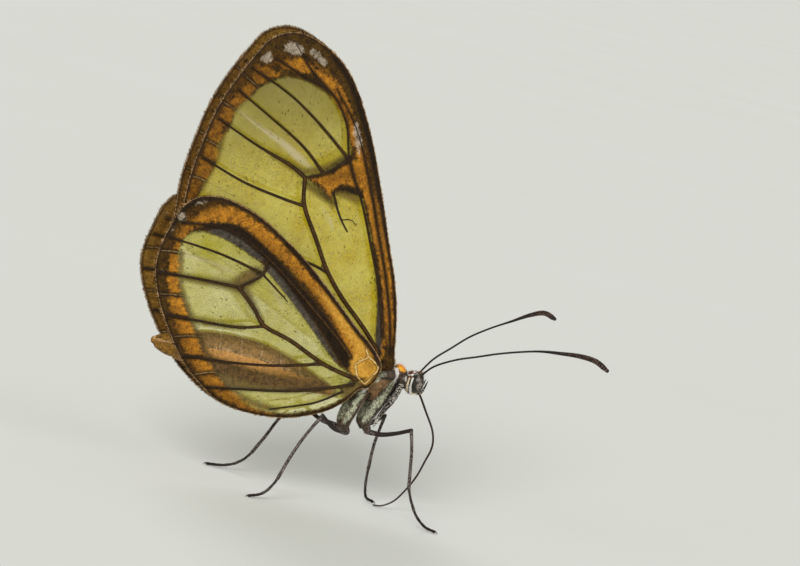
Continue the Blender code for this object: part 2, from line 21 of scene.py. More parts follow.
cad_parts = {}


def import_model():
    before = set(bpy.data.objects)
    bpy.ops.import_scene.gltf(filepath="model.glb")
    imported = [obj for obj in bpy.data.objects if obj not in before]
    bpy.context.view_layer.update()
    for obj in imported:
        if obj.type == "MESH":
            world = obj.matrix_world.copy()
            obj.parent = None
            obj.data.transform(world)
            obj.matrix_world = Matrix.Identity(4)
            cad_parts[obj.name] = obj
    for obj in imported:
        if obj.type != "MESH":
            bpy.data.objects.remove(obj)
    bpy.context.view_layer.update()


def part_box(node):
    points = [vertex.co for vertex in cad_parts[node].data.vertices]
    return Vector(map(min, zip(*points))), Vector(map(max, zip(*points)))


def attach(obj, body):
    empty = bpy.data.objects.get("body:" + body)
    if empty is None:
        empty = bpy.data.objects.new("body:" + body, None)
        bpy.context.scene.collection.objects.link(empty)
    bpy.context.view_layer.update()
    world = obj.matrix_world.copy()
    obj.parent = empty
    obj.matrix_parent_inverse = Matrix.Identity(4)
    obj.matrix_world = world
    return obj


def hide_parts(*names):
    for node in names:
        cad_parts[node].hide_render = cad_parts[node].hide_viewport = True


LOG = logging.getLogger("ithomia")
MM = 0.001
THORAX_CENTRE = (-0.45, 0.0, 9.65)
TUFT_PATCH = 0.003
CHITIN_IOR = 1.56
FAR_OUTSIDE = -9.0

Array = np.ndarray
Points = list[tuple[float, ...]]
Shape = tuple[Array, list[tuple[int, ...]]]


class Side(Enum):
    """A side of the animal, by the sign of its y."""

    RIGHT = -1
    LEFT = 1

    @property
    def word(self) -> str:
        """The side's name in piece names."""
        return self.name.lower()


def linear(code: str) -> tuple[float, float, float, float]:
    """Turn an sRGB hex colour into a linear one.

    Args:
        code: Six hex digits.

    Returns:
        Linear red, green, blue and alpha.
    """
    channels = [int(code[k:k + 2], 16) / 255 for k in (0, 2, 4)]
    turned = [c / 12.92 if c <= 0.04045 else ((c + 0.055) / 1.055) ** 2.4 for c in channels]
    return (*turned, 1.0)


def per_mm(size: float) -> float:
    """Return the texture scale whose features are a size in millimetres across, on metre coordinates."""
    return 1.0 / (size * MM)


def feed(tree: NodeTree, node: Node, inputs: dict[str | int, object]) -> None:
    """Feed a node's inputs.

    Args:
        tree: The tree that holds the node.
        node: The node.
        inputs: For each input's name or number, a plain value, a socket, or a node whose first
            live output is meant.
    """
    for key, value in inputs.items():
        if isinstance(key, int):
            socket = node.inputs[key]
        else:
            socket = next(s for s in node.inputs if s.enabled and s.name == key)
        if isinstance(value, Node):
            value = next(s for s in value.outputs if s.enabled)
        if isinstance(value, NodeSocket):
            tree.links.new(value, socket)
        else:
            socket.default_value = value


def add_node(tree: NodeTree, kind: str, inputs: dict[str | int, object] | None = None,
             **settings: object) -> Node:
    """Add a node with its settings and links.

    Args:
        tree: The tree that takes the node.
        kind: The node's type.
        inputs: What feeds its inputs, as in feed.
        **settings: The node's own options.

    Returns:
        The new node.
    """
    node = tree.nodes.new(kind)
    for name, value in settings.items():
        setattr(node, name, value)
    feed(tree, node, inputs or {})
    return node


# Lines and fields

def smooth_line(points: Points | Array, steps: int = 6, closed: bool = False) -> Array:
    """Run a Catmull-Rom curve through points of any dimension.

    Args:
        points: The points that the curve passes.
        steps: Points for each span.
        closed: Whether the last point joins the first.

    Returns:
        The curve's points, one a row.
    """
    known = np.asarray(points, float)
    if closed:
        padded = np.vstack([known[-1:], known, known[:2]])
    else:
        padded = np.vstack([2 * known[:1] - known[1:2], known, 2 * known[-1:] - known[-2:-1]])
    rows = []
    for k in range(len(padded) - 3):
        a, b, c, d = padded[k:k + 4]
        for t in np.arange(steps) / steps:
            rows.append(0.5 * (2 * b + (c - a) * t + (2 * a - 5 * b + 4 * c - d) * t * t
                               + (3 * b - a - 3 * c + d) * t ** 3))
    if not closed:
        rows.append(known[-1])
    return np.array(rows)


def spaced(line: Array, step: float, closed: bool = False) -> Array:
    """Resample a line at even spacing.

    Args:
        line: Its points, one a row.
        step: The spacing wanted, in millimetres.
        closed: Whether the last point joins the first.

    Returns:
        The new points. A closed line doesn't repeat its first.
    """
    whole = np.vstack([line, line[:1]]) if closed else line
    lengths = np.concatenate([[0.0], np.cumsum(np.linalg.norm(np.diff(whole, axis=0), axis=1))])
    count = max(2, round(lengths[-1] / step))
    wanted = np.linspace(0.0, lengths[-1], count + 1)[:count if closed else count + 1]
    return np.column_stack([np.interp(wanted, lengths, whole[:, k]) for k in range(whole.shape[1])])


def stroke_depth(points: Array, line: Array, widths: Array) -> Array:
    """Work out how deep points lie inside a band along a line.

    Args:
        points: The points, one a row.
        line: The band's middle line, of the same dimension.
        widths: The band's half width at each point of the line.

    Returns:
        The depth of each point, negative outside.
    """
    best = np.full(len(points), -np.inf)
    for a, b, first, last in zip(line[:-1], line[1:], widths[:-1], widths[1:]):
        span = b - a
        along = np.clip((points - a) @ span / max(span @ span, 1e-12), 0.0, 1.0)
        away = np.linalg.norm(points - a - along[:, None] * span, axis=1)
        best = np.maximum(best, first + (last - first) * along - away)
    return best


def loop_depth(points: Array, loop: Array) -> Array:
    """Work out how deep flat points lie inside a loop.

    Args:
        points: The points, one a row.
        loop: The loop's points, its first not repeated.

    Returns:
        The depth of each point, negative outside.
    """
    closed = np.vstack([loop, loop[:1]])
    edge = -stroke_depth(points, closed, np.zeros(len(closed)))
    odd = np.zeros(len(points), bool)
    for a, b in zip(closed[:-1], closed[1:]):
        if a[1] != b[1]:
            crossed = (a[1] > points[:, 1]) != (b[1] > points[:, 1])
            odd ^= crossed & (points[:, 0] < (b[0] - a[0]) * (points[:, 1] - a[1]) / (b[1] - a[1]) + a[0])
    return np.where(odd, edge, -edge)


def smooth_step(value: Array | float) -> Array:
    """Ease a value from 0 to 1, leaving both ends gently."""
    held = np.clip(value, 0.0, 1.0)
    return held * held * (3 - 2 * held)


def hump(distance: Array, height: float, width: float) -> Array:
    """Return a soft hump's height at distances from its middle, a groove's where it is negative."""
    return height * np.exp(-(distance / width) ** 2)


@dataclass(frozen=True)
class Patch:
    """A filled area of a wing or flank, inside a smooth loop of (x, z) points."""

    loop: tuple

    def depth(self, points: Array) -> Array:
        """Return how deep flat points lie inside."""
        return loop_depth(points, smooth_line(self.loop, 4, closed=True))


@dataclass(frozen=True)
class Stroke:
    """A band of a wing or flank, along points of (x, z, half width)."""

    line: tuple

    def depth(self, points: Array) -> Array:
        """Return how deep flat points lie inside."""
        line = smooth_line(self.line, 5)
        return stroke_depth(points, line[:, :2], line[:, 2])


def deepest(points: Array, areas: tuple) -> Array:
    """Return how deep points lie inside the union of patches and strokes."""
    return np.maximum.reduce([area.depth(points) for area in areas])


# Meshes

@dataclass
class Frame:
    """Turns millimetres of the animal into metres of the solids, and hands pieces over."""

    shift: Vector = field(default_factory=Vector)

    @classmethod
    def from_solids(cls) -> "Frame":
        """Find the frame from the middle of the thorax solid."""
        low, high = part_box("thorax")
        return cls((low + high) / 2 - Vector(THORAX_CENTRE) * MM)

    def settle(self, piece: Object, slot: str, nodes: tuple[str, ...] = ()) -> Object:
        """Put a finished piece in place and hide the solids that it replaces.

        Args:
            piece: A piece whose mesh is in millimetres.
            slot: The material slot that the piece stands for; not used.
            nodes: The solids that it replaces.

        Returns:
            The same piece.
        """
        piece.data.transform(Matrix.Translation(self.shift) @ Matrix.Scale(MM, 4))
        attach(piece, "root")
        if nodes:
            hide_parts(*nodes)
        LOG.info("%s: %d faces", piece.name, len(piece.data.polygons))
        return piece


def new_piece(name: str, shape: Shape, material: Material | None = None,
              fields: dict[str, Array] | None = None, smooth: bool = True) -> Object:
    """Make an object from a shape in millimetres.

    Args:
        name: The piece's name.
        shape: Its vertices and faces.
        material: Its finish.
        fields: Attributes to keep on its vertices, numbers or vectors.
        smooth: Whether its faces shade smoothly.

    Returns:
        The new object, linked to the scene.
    """
    mesh = bpy.data.meshes.new(name)
    mesh.from_pydata(shape[0].tolist(), [], shape[1])
    if smooth:
        mesh.shade_smooth()
    piece = bpy.data.objects.new(name, mesh)
    bpy.context.scene.collection.objects.link(piece)
    if material:
        mesh.materials.append(material)
    store_fields(mesh, fields or {})
    return piece


def store_fields(mesh: Mesh, fields: dict[str, Array]) -> None:
    """Keep numbers or vectors on a mesh's vertices.

    Args:
        mesh: The mesh.
        fields: For each attribute's name, its numbers or vectors, one a vertex.
    """
    for name, values in fields.items():
        flat = values.ndim == 1
        layer = mesh.attributes.new(name, "FLOAT" if flat else "FLOAT_VECTOR", "POINT")
        layer.data.foreach_set("value" if flat else "vector", np.asarray(values, np.float32).ravel())


def read_rows(items: bpy.types.bpy_prop_collection, name: str) -> Array:
    """Read a vector from each item of a mesh.

    Args:
        items: The items, such as the vertices.
        name: What the vector is called in them.

    Returns:
        The vectors, one a row.
    """
    values = np.zeros(len(items) * 3, np.float32)
    items.foreach_get(name, values)
    return values.reshape(-1, 3)


def merged(shapes: list[Shape]) -> Shape:
    """Join shapes into one, each still closed.

    Args:
        shapes: The shapes.

    Returns:
        One shape of all their vertices and faces.
    """
    vertices, faces, first = [], [], 0
    for points, sides in shapes:
        vertices.append(points)
        faces += [tuple(first + k for k in side) for side in sides]
        first += len(points)
    return np.vstack(vertices), faces


def lofted(rings: list[Array], front: Array, back: Array) -> Shape:
    """Close a run of rings into a shape, with a pole at each end.

    Args:
        rings: Rings of equal count, anticlockwise seen from the far end.
        front: The pole beyond the first ring.
        back: The pole beyond the last ring.

    Returns:
        The closed shape.
    """
    sides, count = len(rings[0]), len(rings)
    faces = []
    for j in range(count - 1):
        base = j * sides
        faces += [(base + k, base + (k + 1) % sides, base + sides + (k + 1) % sides, base + sides + k)
                  for k in range(sides)]
    last = (count - 1) * sides
    faces += [(count * sides, (k + 1) % sides, k) for k in range(sides)]
    faces += [(count * sides + 1, last + k, last + (k + 1) % sides) for k in range(sides)]
    return np.vstack([*rings, front, back]), faces


def tube(line: Array, radii: Array, sides: int = 12) -> Shape:
    """Make a closed tube with round ends along a line.

    Args:
        line: Its middle line, one point a row.
        radii: Its radius at each point.
        sides: Vertices in each ring.

    Returns:
        The closed shape.
    """
    line, radii = np.asarray(line, float), np.asarray(radii, float)
    start, stop = line[0] - line[1], line[-1] - line[-2]
    start, stop = start / np.linalg.norm(start), stop / np.linalg.norm(stop)
    tilts = np.radians([75, 50, 25])
    heads = [line[0] + start * radii[0] * math.sin(a) for a in tilts]
    tails = [line[-1] + stop * radii[-1] * math.sin(a) for a in tilts[::-1]]
    poles = line[0] + start * radii[0], line[-1] + stop * radii[-1]
    radii = np.concatenate([radii[0] * np.cos(tilts), radii, radii[-1] * np.cos(tilts[::-1])])
    line = np.vstack([heads, line, tails])
    ahead = np.gradient(line, axis=0)
    ahead /= np.maximum(np.linalg.norm(ahead, axis=1), 1e-9)[:, None]
    across = np.cross([0.0, 0.0, 1.0], ahead[0])
    if np.linalg.norm(across) < 0.2:
        across = np.array([0.0, 1.0, 0.0])
    angles = 2 * math.pi * np.arange(sides) / sides
    rings = []
    for point, radius, direction in zip(line, radii, ahead):
        across = across - direction * (across @ direction)
        across /= np.linalg.norm(across)
        up = np.cross(direction, across)
        ring = np.outer(np.cos(angles), across) + np.outer(np.sin(angles), up)
        rings.append(point + ring * radius)
    return lofted(rings, *poles)


def egg(centre: tuple, radii: tuple, tilt: float = 0.0, sides: int = 40, rings: int = 26) -> Shape:
    """Make a closed egg shape, tilted nose up about the y axis.

    Args:
        centre: Its middle.
        radii: Its half sizes along, across and up.
        tilt: The angle of its nose above level, in radians.
        sides: Vertices in each ring.
        rings: Steps from pole to pole.

    Returns:
        The closed shape.
    """
    turn = np.array(Matrix.Rotation(-tilt, 3, "Y"))
    angles = 2 * math.pi * np.arange(sides) / sides
    rows = []
    for along in math.pi * np.arange(1, rings) / rings:
        ring = np.column_stack([np.full(sides, math.cos(along)), math.sin(along) * np.sin(angles),
                                math.sin(along) * np.cos(angles)])
        rows.append(ring * radii @ turn.T + centre)
    ends = np.array([[radii[0], 0, 0], [-radii[0], 0, 0]]) @ turn.T + centre
    return lofted(rows, ends[0], ends[1])


def as_mesh(piece: Object) -> Object:
    """Turn a piece's modifiers into a plain mesh.

    Args:
        piece: The piece with its modifiers.

    Returns:
        The same piece, with none.
    """
    graph = bpy.context.evaluated_depsgraph_get()
    shape = bpy.data.meshes.new_from_object(piece.evaluated_get(graph))
    piece.modifiers.clear()
    piece.data = shape
    return piece


# Tufts, scales, bristles and fringes

@dataclass
class TuftTree:
    """A Geometry Nodes tree that plants small closed blades over a surface or along a line.

    The ground carries three attributes: coat, the share of full density, lie, the way a blade
    points, and reach, the share of full length.
    """

    along_line: bool = False
    name: str = "tufts"
    sizes: tuple[tuple[str, float], ...] = (
        ("Density", 10.0), ("Length", 0.3), ("Width", 0.05), ("Flatness", 0.5), ("Curl", 0.1),
        ("Lift", 0.3), ("Disorder", 0.5),
    )

    def build(self) -> NodeTree:
        """Build the tree.

        Returns:
            A node group with the ground's mesh, the sizes, a seed and a material as inputs.
        """
        tree = bpy.data.node_groups.new(self.name, "GeometryNodeTree")
        add = partial(add_node, tree)
        face = tree.interface
        face.new_socket("Ground", in_out="INPUT", socket_type="NodeSocketGeometry")
        for label, value in self.sizes:
            face.new_socket(label, in_out="INPUT", socket_type="NodeSocketFloat").default_value = value
        face.new_socket("Seed", in_out="INPUT", socket_type="NodeSocketInt")
        face.new_socket("Finish", in_out="INPUT", socket_type="NodeSocketMaterial")
        face.new_socket("Tufts", in_out="OUTPUT", socket_type="NodeSocketGeometry")
        given = add("NodeGroupInput").outputs
        lie = add("GeometryNodeInputNamedAttribute", {"Name": "lie"}, data_type="FLOAT_VECTOR")
        reach = add("GeometryNodeInputNamedAttribute", {"Name": "reach"}, data_type="FLOAT")
        points, normal = self.ground_points(tree, given)
        place = add("GeometryNodeInputPosition")
        rooted = add("GeometryNodeStoreNamedAttribute", {"Geometry": points, "Name": "root", "Value": place},
                     data_type="FLOAT_VECTOR", domain="POINT")
        wander = add("FunctionNodeRandomValue", {"Min": (-0.5,) * 3, "Max": (0.5,) * 3,
                                                 "Seed": given["Seed"]}, data_type="FLOAT_VECTOR")
        stray = add("ShaderNodeVectorMath", {0: wander, 3: given["Disorder"]}, operation="SCALE")
        lifted = add("ShaderNodeVectorMath", {0: normal, 3: given["Lift"]}, operation="SCALE")
        leaning = add("ShaderNodeVectorMath", {0: lie, 1: lifted}, operation="ADD")
        pointing = add("ShaderNodeVectorMath", {0: leaning, 1: stray}, operation="ADD")
        turn = add("FunctionNodeAxesToRotation", {"Primary Axis": pointing, "Secondary Axis": normal},
                   primary_axis="Z", secondary_axis="Y")
        spread = add("FunctionNodeRandomValue", {"Min": 0.65, "Max": 1.25, "Seed": given["Seed"]},
                     data_type="FLOAT")
        length = add("ShaderNodeMath", {0: given["Length"], 1: reach}, operation="MULTIPLY")
        size = add("ShaderNodeMath", {0: length, 1: spread}, operation="MULTIPLY")
        planted = add("GeometryNodeInstanceOnPoints", {"Points": rooted, "Instance": self.blade(tree, given),
                                                       "Rotation": turn, "Scale": size})
        real = add("GeometryNodeRealizeInstances", {"Geometry": planted})
        dressed = add("GeometryNodeSetMaterial", {"Geometry": real, "Material": given["Finish"]})
        add("NodeGroupOutput", {0: dressed})
        return tree

    def ground_points(self, tree: NodeTree, given: object) -> tuple[Node, object]:
        """Add the nodes that spread points over the ground or along its line.

        Args:
            tree: The tree under construction.
            given: The outputs of the tree's input node.

        Returns:
            The node that gives the points, and what gives their normals.
        """
        add = partial(add_node, tree)
        if self.along_line:
            curve = add("GeometryNodeMeshToCurve", {"Mesh": given["Ground"]})
            step = add("ShaderNodeMath", {0: 1.0, 1: given["Density"]}, operation="DIVIDE")
            points = add("GeometryNodeCurveToPoints", {"Curve": curve, "Length": step}, mode="LENGTH")
            return points, add("GeometryNodeInputNamedAttribute", {"Name": "level"}, data_type="FLOAT_VECTOR")
        coat = add("GeometryNodeInputNamedAttribute", {"Name": "coat"}, data_type="FLOAT")
        density = add("ShaderNodeMath", {0: given["Density"], 1: coat}, operation="MULTIPLY")
        points = add("GeometryNodeDistributePointsOnFaces",
                     {"Mesh": given["Ground"], "Density": density, "Seed": given["Seed"]})
        return points, points.outputs["Normal"]

    def blade(self, tree: NodeTree, given: object) -> Node:
        """Add the nodes of one blade, a unit long, that keeps its own shape in an attribute.

        Args:
            tree: The tree under construction.
            given: The outputs of the tree's input node.

        Returns:
            The node that gives the blade.
        """
        add = partial(add_node, tree)
        slim = add("ShaderNodeMath", {0: given["Width"], 1: given["Length"]}, operation="DIVIDE")
        half = add("ShaderNodeMath", {0: slim, 1: 0.5}, operation="MULTIPLY")
        cone = add("GeometryNodeMeshCone", {"Vertices": 3, "Side Segments": 2, "Radius Top": 0.0,
                                            "Radius Bottom": half, "Depth": 1.0}, fill_type="NGON")
        flat = add("ShaderNodeCombineXYZ", {"X": 1.0, "Y": given["Flatness"], "Z": 1.0})
        pressed = add("GeometryNodeTransform", {"Geometry": cone, "Scale": flat})
        place = add("GeometryNodeInputPosition")
        parts = add("ShaderNodeSeparateXYZ", {"Vector": place})
        square = add("ShaderNodeMath", {0: parts.outputs["Z"], 1: 2.0}, operation="POWER")
        drop = add("ShaderNodeMath", {0: square, 1: given["Curl"]}, operation="MULTIPLY")
        fall = add("ShaderNodeMath", {0: drop, 1: -1.0}, operation="MULTIPLY")
        bend = add("ShaderNodeCombineXYZ", {"Y": fall})
        bent = add("GeometryNodeSetPosition", {"Geometry": pressed, "Offset": bend})
        return add("GeometryNodeStoreNamedAttribute", {"Geometry": bent, "Name": "blade", "Value": place},
                   data_type="FLOAT_VECTOR", domain="POINT")


@dataclass
class Coat:
    """One kind of blade on one piece: its density to the square or running millimetre and its sizes."""

    tree: NodeTree
    finish: Material
    density: float
    length: float
    width: float
    flatness: float = 0.45
    curl: float = 0.15
    lift: float = 0.35
    disorder: float = 0.5
    seed: int = 1

    def grow(self, name: str, ground: Object, unwrap: "Unwrap") -> Object:
        """Plant the coat on a ground that is still in millimetres.

        Args:
            name: The coat's piece name.
            ground: The mesh that it grows from.
            unwrap: The unwrap of the ground's own shape.

        Returns:
            The coat as a plain mesh, in millimetres too.
        """
        coat = bpy.data.objects.new(name, ground.data.copy())
        bpy.context.scene.collection.objects.link(coat)
        grower = coat.modifiers.new("coat", "NODES")
        grower.node_group = self.tree
        values = {"Density": self.density, "Length": self.length, "Width": self.width,
                  "Flatness": self.flatness, "Curl": self.curl, "Lift": self.lift,
                  "Disorder": self.disorder, "Seed": self.seed, "Finish": self.finish}
        for socket in self.tree.interface.items_tree:
            if socket.name in values:
                grower[socket.identifier] = values[socket.name]
        as_mesh(coat)
        self.lay_patches(coat.data, unwrap)
        return coat

    def lay_patches(self, mesh: Mesh, unwrap: "Unwrap") -> None:
        """Give every blade a small patch of the bake map, at its root's place on the unwrap.

        Args:
            mesh: The coat's mesh, with the attributes root and blade.
            unwrap: The unwrap of the ground's own shape.
        """
        roots, blades = (read_rows(mesh.attributes[name].data, "vector") for name in ("root", "blade"))
        width = self.width / self.length
        across = np.clip(blades[:, 0] / width + 0.5, 0.0, 1.0)
        places = unwrap.places(roots.astype(float))
        places += TUFT_PATCH * np.column_stack([across, blades[:, 2]])
        corners = np.zeros(len(mesh.loops), np.int32)
        mesh.loops.foreach_get("vertex_index", corners)
        layer = mesh.uv_layers.new(name="OFBake")
        layer.data.foreach_set("uv", places[corners].astype(np.float32).ravel())
        layer.active = True


@dataclass(frozen=True)
class Unwrap:
    """Lays a long round shape flat: along its length one way, and round it the other."""

    start: tuple
    stop: tuple

    def places(self, points: Array) -> Array:
        """Find points' places on the map.

        Args:
            points: The points in millimetres, one a row.

        Returns:
            Their places, from 0 to 1 both ways.
        """
        start, stop = np.array(self.start, float), np.array(self.stop, float)
        axis = stop - start
        length = np.linalg.norm(axis)
        axis /= length
        across = np.cross([0.0, 0.0, 1.0] if abs(axis[2]) < 0.8 else [0.0, 1.0, 0.0], axis)
        across /= np.linalg.norm(across)
        up = np.cross(axis, across)
        away = points - start
        along = np.clip(away @ axis / length, 0.0, 1.0)
        angle = np.arctan2(away @ across, away @ up) / (2 * math.pi) + 0.5
        return 0.01 + 0.975 * np.column_stack([along, angle])


@dataclass(frozen=True)
class WingUnwrap(Unwrap):
    """Lays a wing flat, its outer and inner face side by side."""

    middle_y: float = 0.0
    slope: float = 0.0

    def places(self, points: Array) -> Array:
        """Find points' places on the map.

        Args:
            points: The points in millimetres, one a row.

        Returns:
            Their places, from 0 to 1 both ways.
        """
        start, stop = np.array(self.start, float), np.array(self.stop, float)
        share = (points[:, [0, 2]] - start) / (stop - start)
        inner = np.abs(points[:, 1]) < self.middle_y + self.slope * -points[:, 0]
        return 0.01 + 0.975 * np.column_stack([share[:, 0] * 0.48 + 0.5 * inner, share[:, 1]])


# Finishes

@dataclass(frozen=True)
class Mark:
    """A marking: the field that holds its depth, its two colours, and the edge it fades over.

    It spreads beyond the field's own edge by widen. One that only masks needs no colours.
    """

    name: str
    colour: str = "000000"
    shade: str = "000000"
    edge: float = 0.05
    ragged: float = 0.08
    cover: float = 1.0
    widen: float = 0.0


@dataclass(frozen=True)
class Grain:
    """Noise shared by a finish: wander bends the edges of marks, grain mottles their colours."""

    wander: Node
    grain: Node

    @classmethod
    def of(cls, tree: NodeTree, wander_mm: float, grain_mm: float) -> "Grain":
        """Add both noises to a tree.

        Args:
            tree: The material's tree.
            wander_mm: The size of the features that bend edges, in millimetres.
            grain_mm: The size of the mottling, in millimetres.

        Returns:
            The noises.
        """
        add = partial(add_node, tree)
        place = add("ShaderNodeTexCoord").outputs["Object"]
        rough = add("ShaderNodeTexNoise", {"Vector": place, "Scale": per_mm(wander_mm), "Detail": 4.0,
                                           "Roughness": 0.65})
        wander = add("ShaderNodeMath", {0: rough, 1: 2.0, 2: -1.0}, operation="MULTIPLY_ADD")
        fine = add("ShaderNodeTexNoise", {"Vector": place, "Scale": per_mm(grain_mm), "Detail": 3.0,
                                          "Roughness": 0.7})
        mixed = add("ShaderNodeMath", {0: rough, 1: 0.7, 2: fine}, operation="MULTIPLY_ADD")
        grain = add("ShaderNodeMapRange", {"Value": mixed, "From Min": 0.71, "From Max": 0.99})
        return cls(wander, grain)


def eased_depth(tree: NodeTree, mark: Mark, noise: Grain, outside: float = 0.0) -> Node:
    """Add the nodes that ease over the ragged edge of a marking.

    Args:
        tree: The material's tree.
        mark: The marking.
        noise: The finish's noises.
        outside: The share outside the marking.

    Returns:
        The node that gives the share, which is the marking's cover inside it.
    """
    depth = add_node(tree, "ShaderNodeAttribute", attribute_name=mark.name).outputs["Fac"]
    bent = add_node(tree, "ShaderNodeMath", {0: noise.wander, 1: mark.ragged, 2: depth},
                    operation="MULTIPLY_ADD")
    return add_node(tree, "ShaderNodeMapRange",
                    {"Value": bent, "From Min": -mark.edge - mark.widen, "From Max": mark.edge - mark.widen,
                     "To Min": outside, "To Max": mark.cover}, interpolation_type="SMOOTHSTEP")


def paint(tree: NodeTree, under: object, marks: tuple[Mark, ...], noise: Grain) -> Node:
    """Lay markings over a colour, one after the other.

    Args:
        tree: The material's tree.
        under: The colour below them.
        marks: The markings.
        noise: The finish's noises.

    Returns:
        The node that gives the new colour.
    """
    for mark in marks:
        tint = add_node(tree, "ShaderNodeMix", {"Factor": noise.grain, "A": linear(mark.shade),
                                                "B": linear(mark.colour)}, data_type="RGBA")
        under = add_node(tree, "ShaderNodeMix", {"Factor": eased_depth(tree, mark, noise), "A": under,
                                                 "B": tint}, data_type="RGBA")
    return under


@dataclass(frozen=True)
class Finish:
    """A material by its name. Each kind of finish says what its surface is made of."""

    name: str

    def material(self) -> Material:
        """Make the material.

        Returns:
            The new material.
        """
        material = bpy.data.materials.new(self.name)
        material.use_nodes = True
        tree = material.node_tree
        feed(tree, tree.nodes["Principled BSDF"], self.surface(tree))
        return material

    def surface(self, tree: NodeTree) -> dict[str, object]:
        """Add the finish's nodes and return what feeds the shader."""
        raise NotImplementedError


SCALED_MARKS = (
    Mark("inner", "9A722C", "5A3E10", edge=0.2, cover=0.85),
    Mark("haze", "785A34", "48341C", edge=0.3, ragged=0.2, cover=0.85),
    Mark("grey", "5E564C", "2C2822", edge=0.08, ragged=0.12, cover=0.9),
    Mark("orange", "CE8C24", "7A4C16", edge=0.16, ragged=0.4),
    Mark("bright", "E6B24A", "BE8628", edge=0.3, ragged=0.12, cover=0.9),
    Mark("dusk", "6A430A", "3A2406", edge=0.4, ragged=0.5, cover=0.6),
    Mark("umber", "2E1D08", "140C03", edge=0.14, ragged=0.3),
    # Painted shade along the pleat grooves across the border.
    Mark("fold_shade_and_highlight", "33220C", "1A1106", edge=0.1, ragged=0.24, cover=0.85, widen=0.13),
    Mark("vein", "2E1C06", "180E03", edge=0.12, ragged=0.22, cover=0.85, widen=0.1),
    # Painted highlight: a pale line along each pleat's ridge.
    Mark("fold_shade_and_highlight", "B8965E", "7A5E34", edge=0.02, ragged=0.04, cover=0.55),
    Mark("rib", "5A3E18", "3A260E", edge=0.05, ragged=0.04, cover=0.8, widen=0.06),
    Mark("rib", "F6D48C", "C89C50", edge=0.03, ragged=0.02, cover=0.95),
    Mark("pale", "D4C6B0", "6A5A46", edge=0.1, ragged=0.3, cover=0.75),
    Mark("margin", "3A2610", "1E1308", edge=0.06, ragged=0.1, cover=0.85, widen=0.16),
    Mark("plum", "45283A", "2A161E", edge=0.04, ragged=0.03),
    Mark("margin", "C09A66", "6E5030", edge=0.02, ragged=0.03),
)
WING_FIELDS = ("thin", "closed", "orange", "bright", "dusk", "umber", "haze", "grey", "glint", "fold_shade_and_highlight", "rib",
               "pale", "plum", "inner")
INNER_FACE = {"orange": -0.3, "pale": -0.2, "bright": -0.2, "umber": -0.28, "inner": -2 * FAR_OUTSIDE}


def scale_colour(tree: NodeTree, noise: Grain) -> Node:
    """Add the nodes that colour the scales of a wing: brown, with every marking laid over it.

    Args:
        tree: The material's tree.
        noise: The finish's noises.

    Returns:
        The node that gives the colour.
    """
    brown = add_node(tree, "ShaderNodeMix",
                     {"Factor": noise.grain, "A": linear("221604"), "B": linear("5A3E0E")}, data_type="RGBA")
    return paint(tree, brown, SCALED_MARKS, noise)


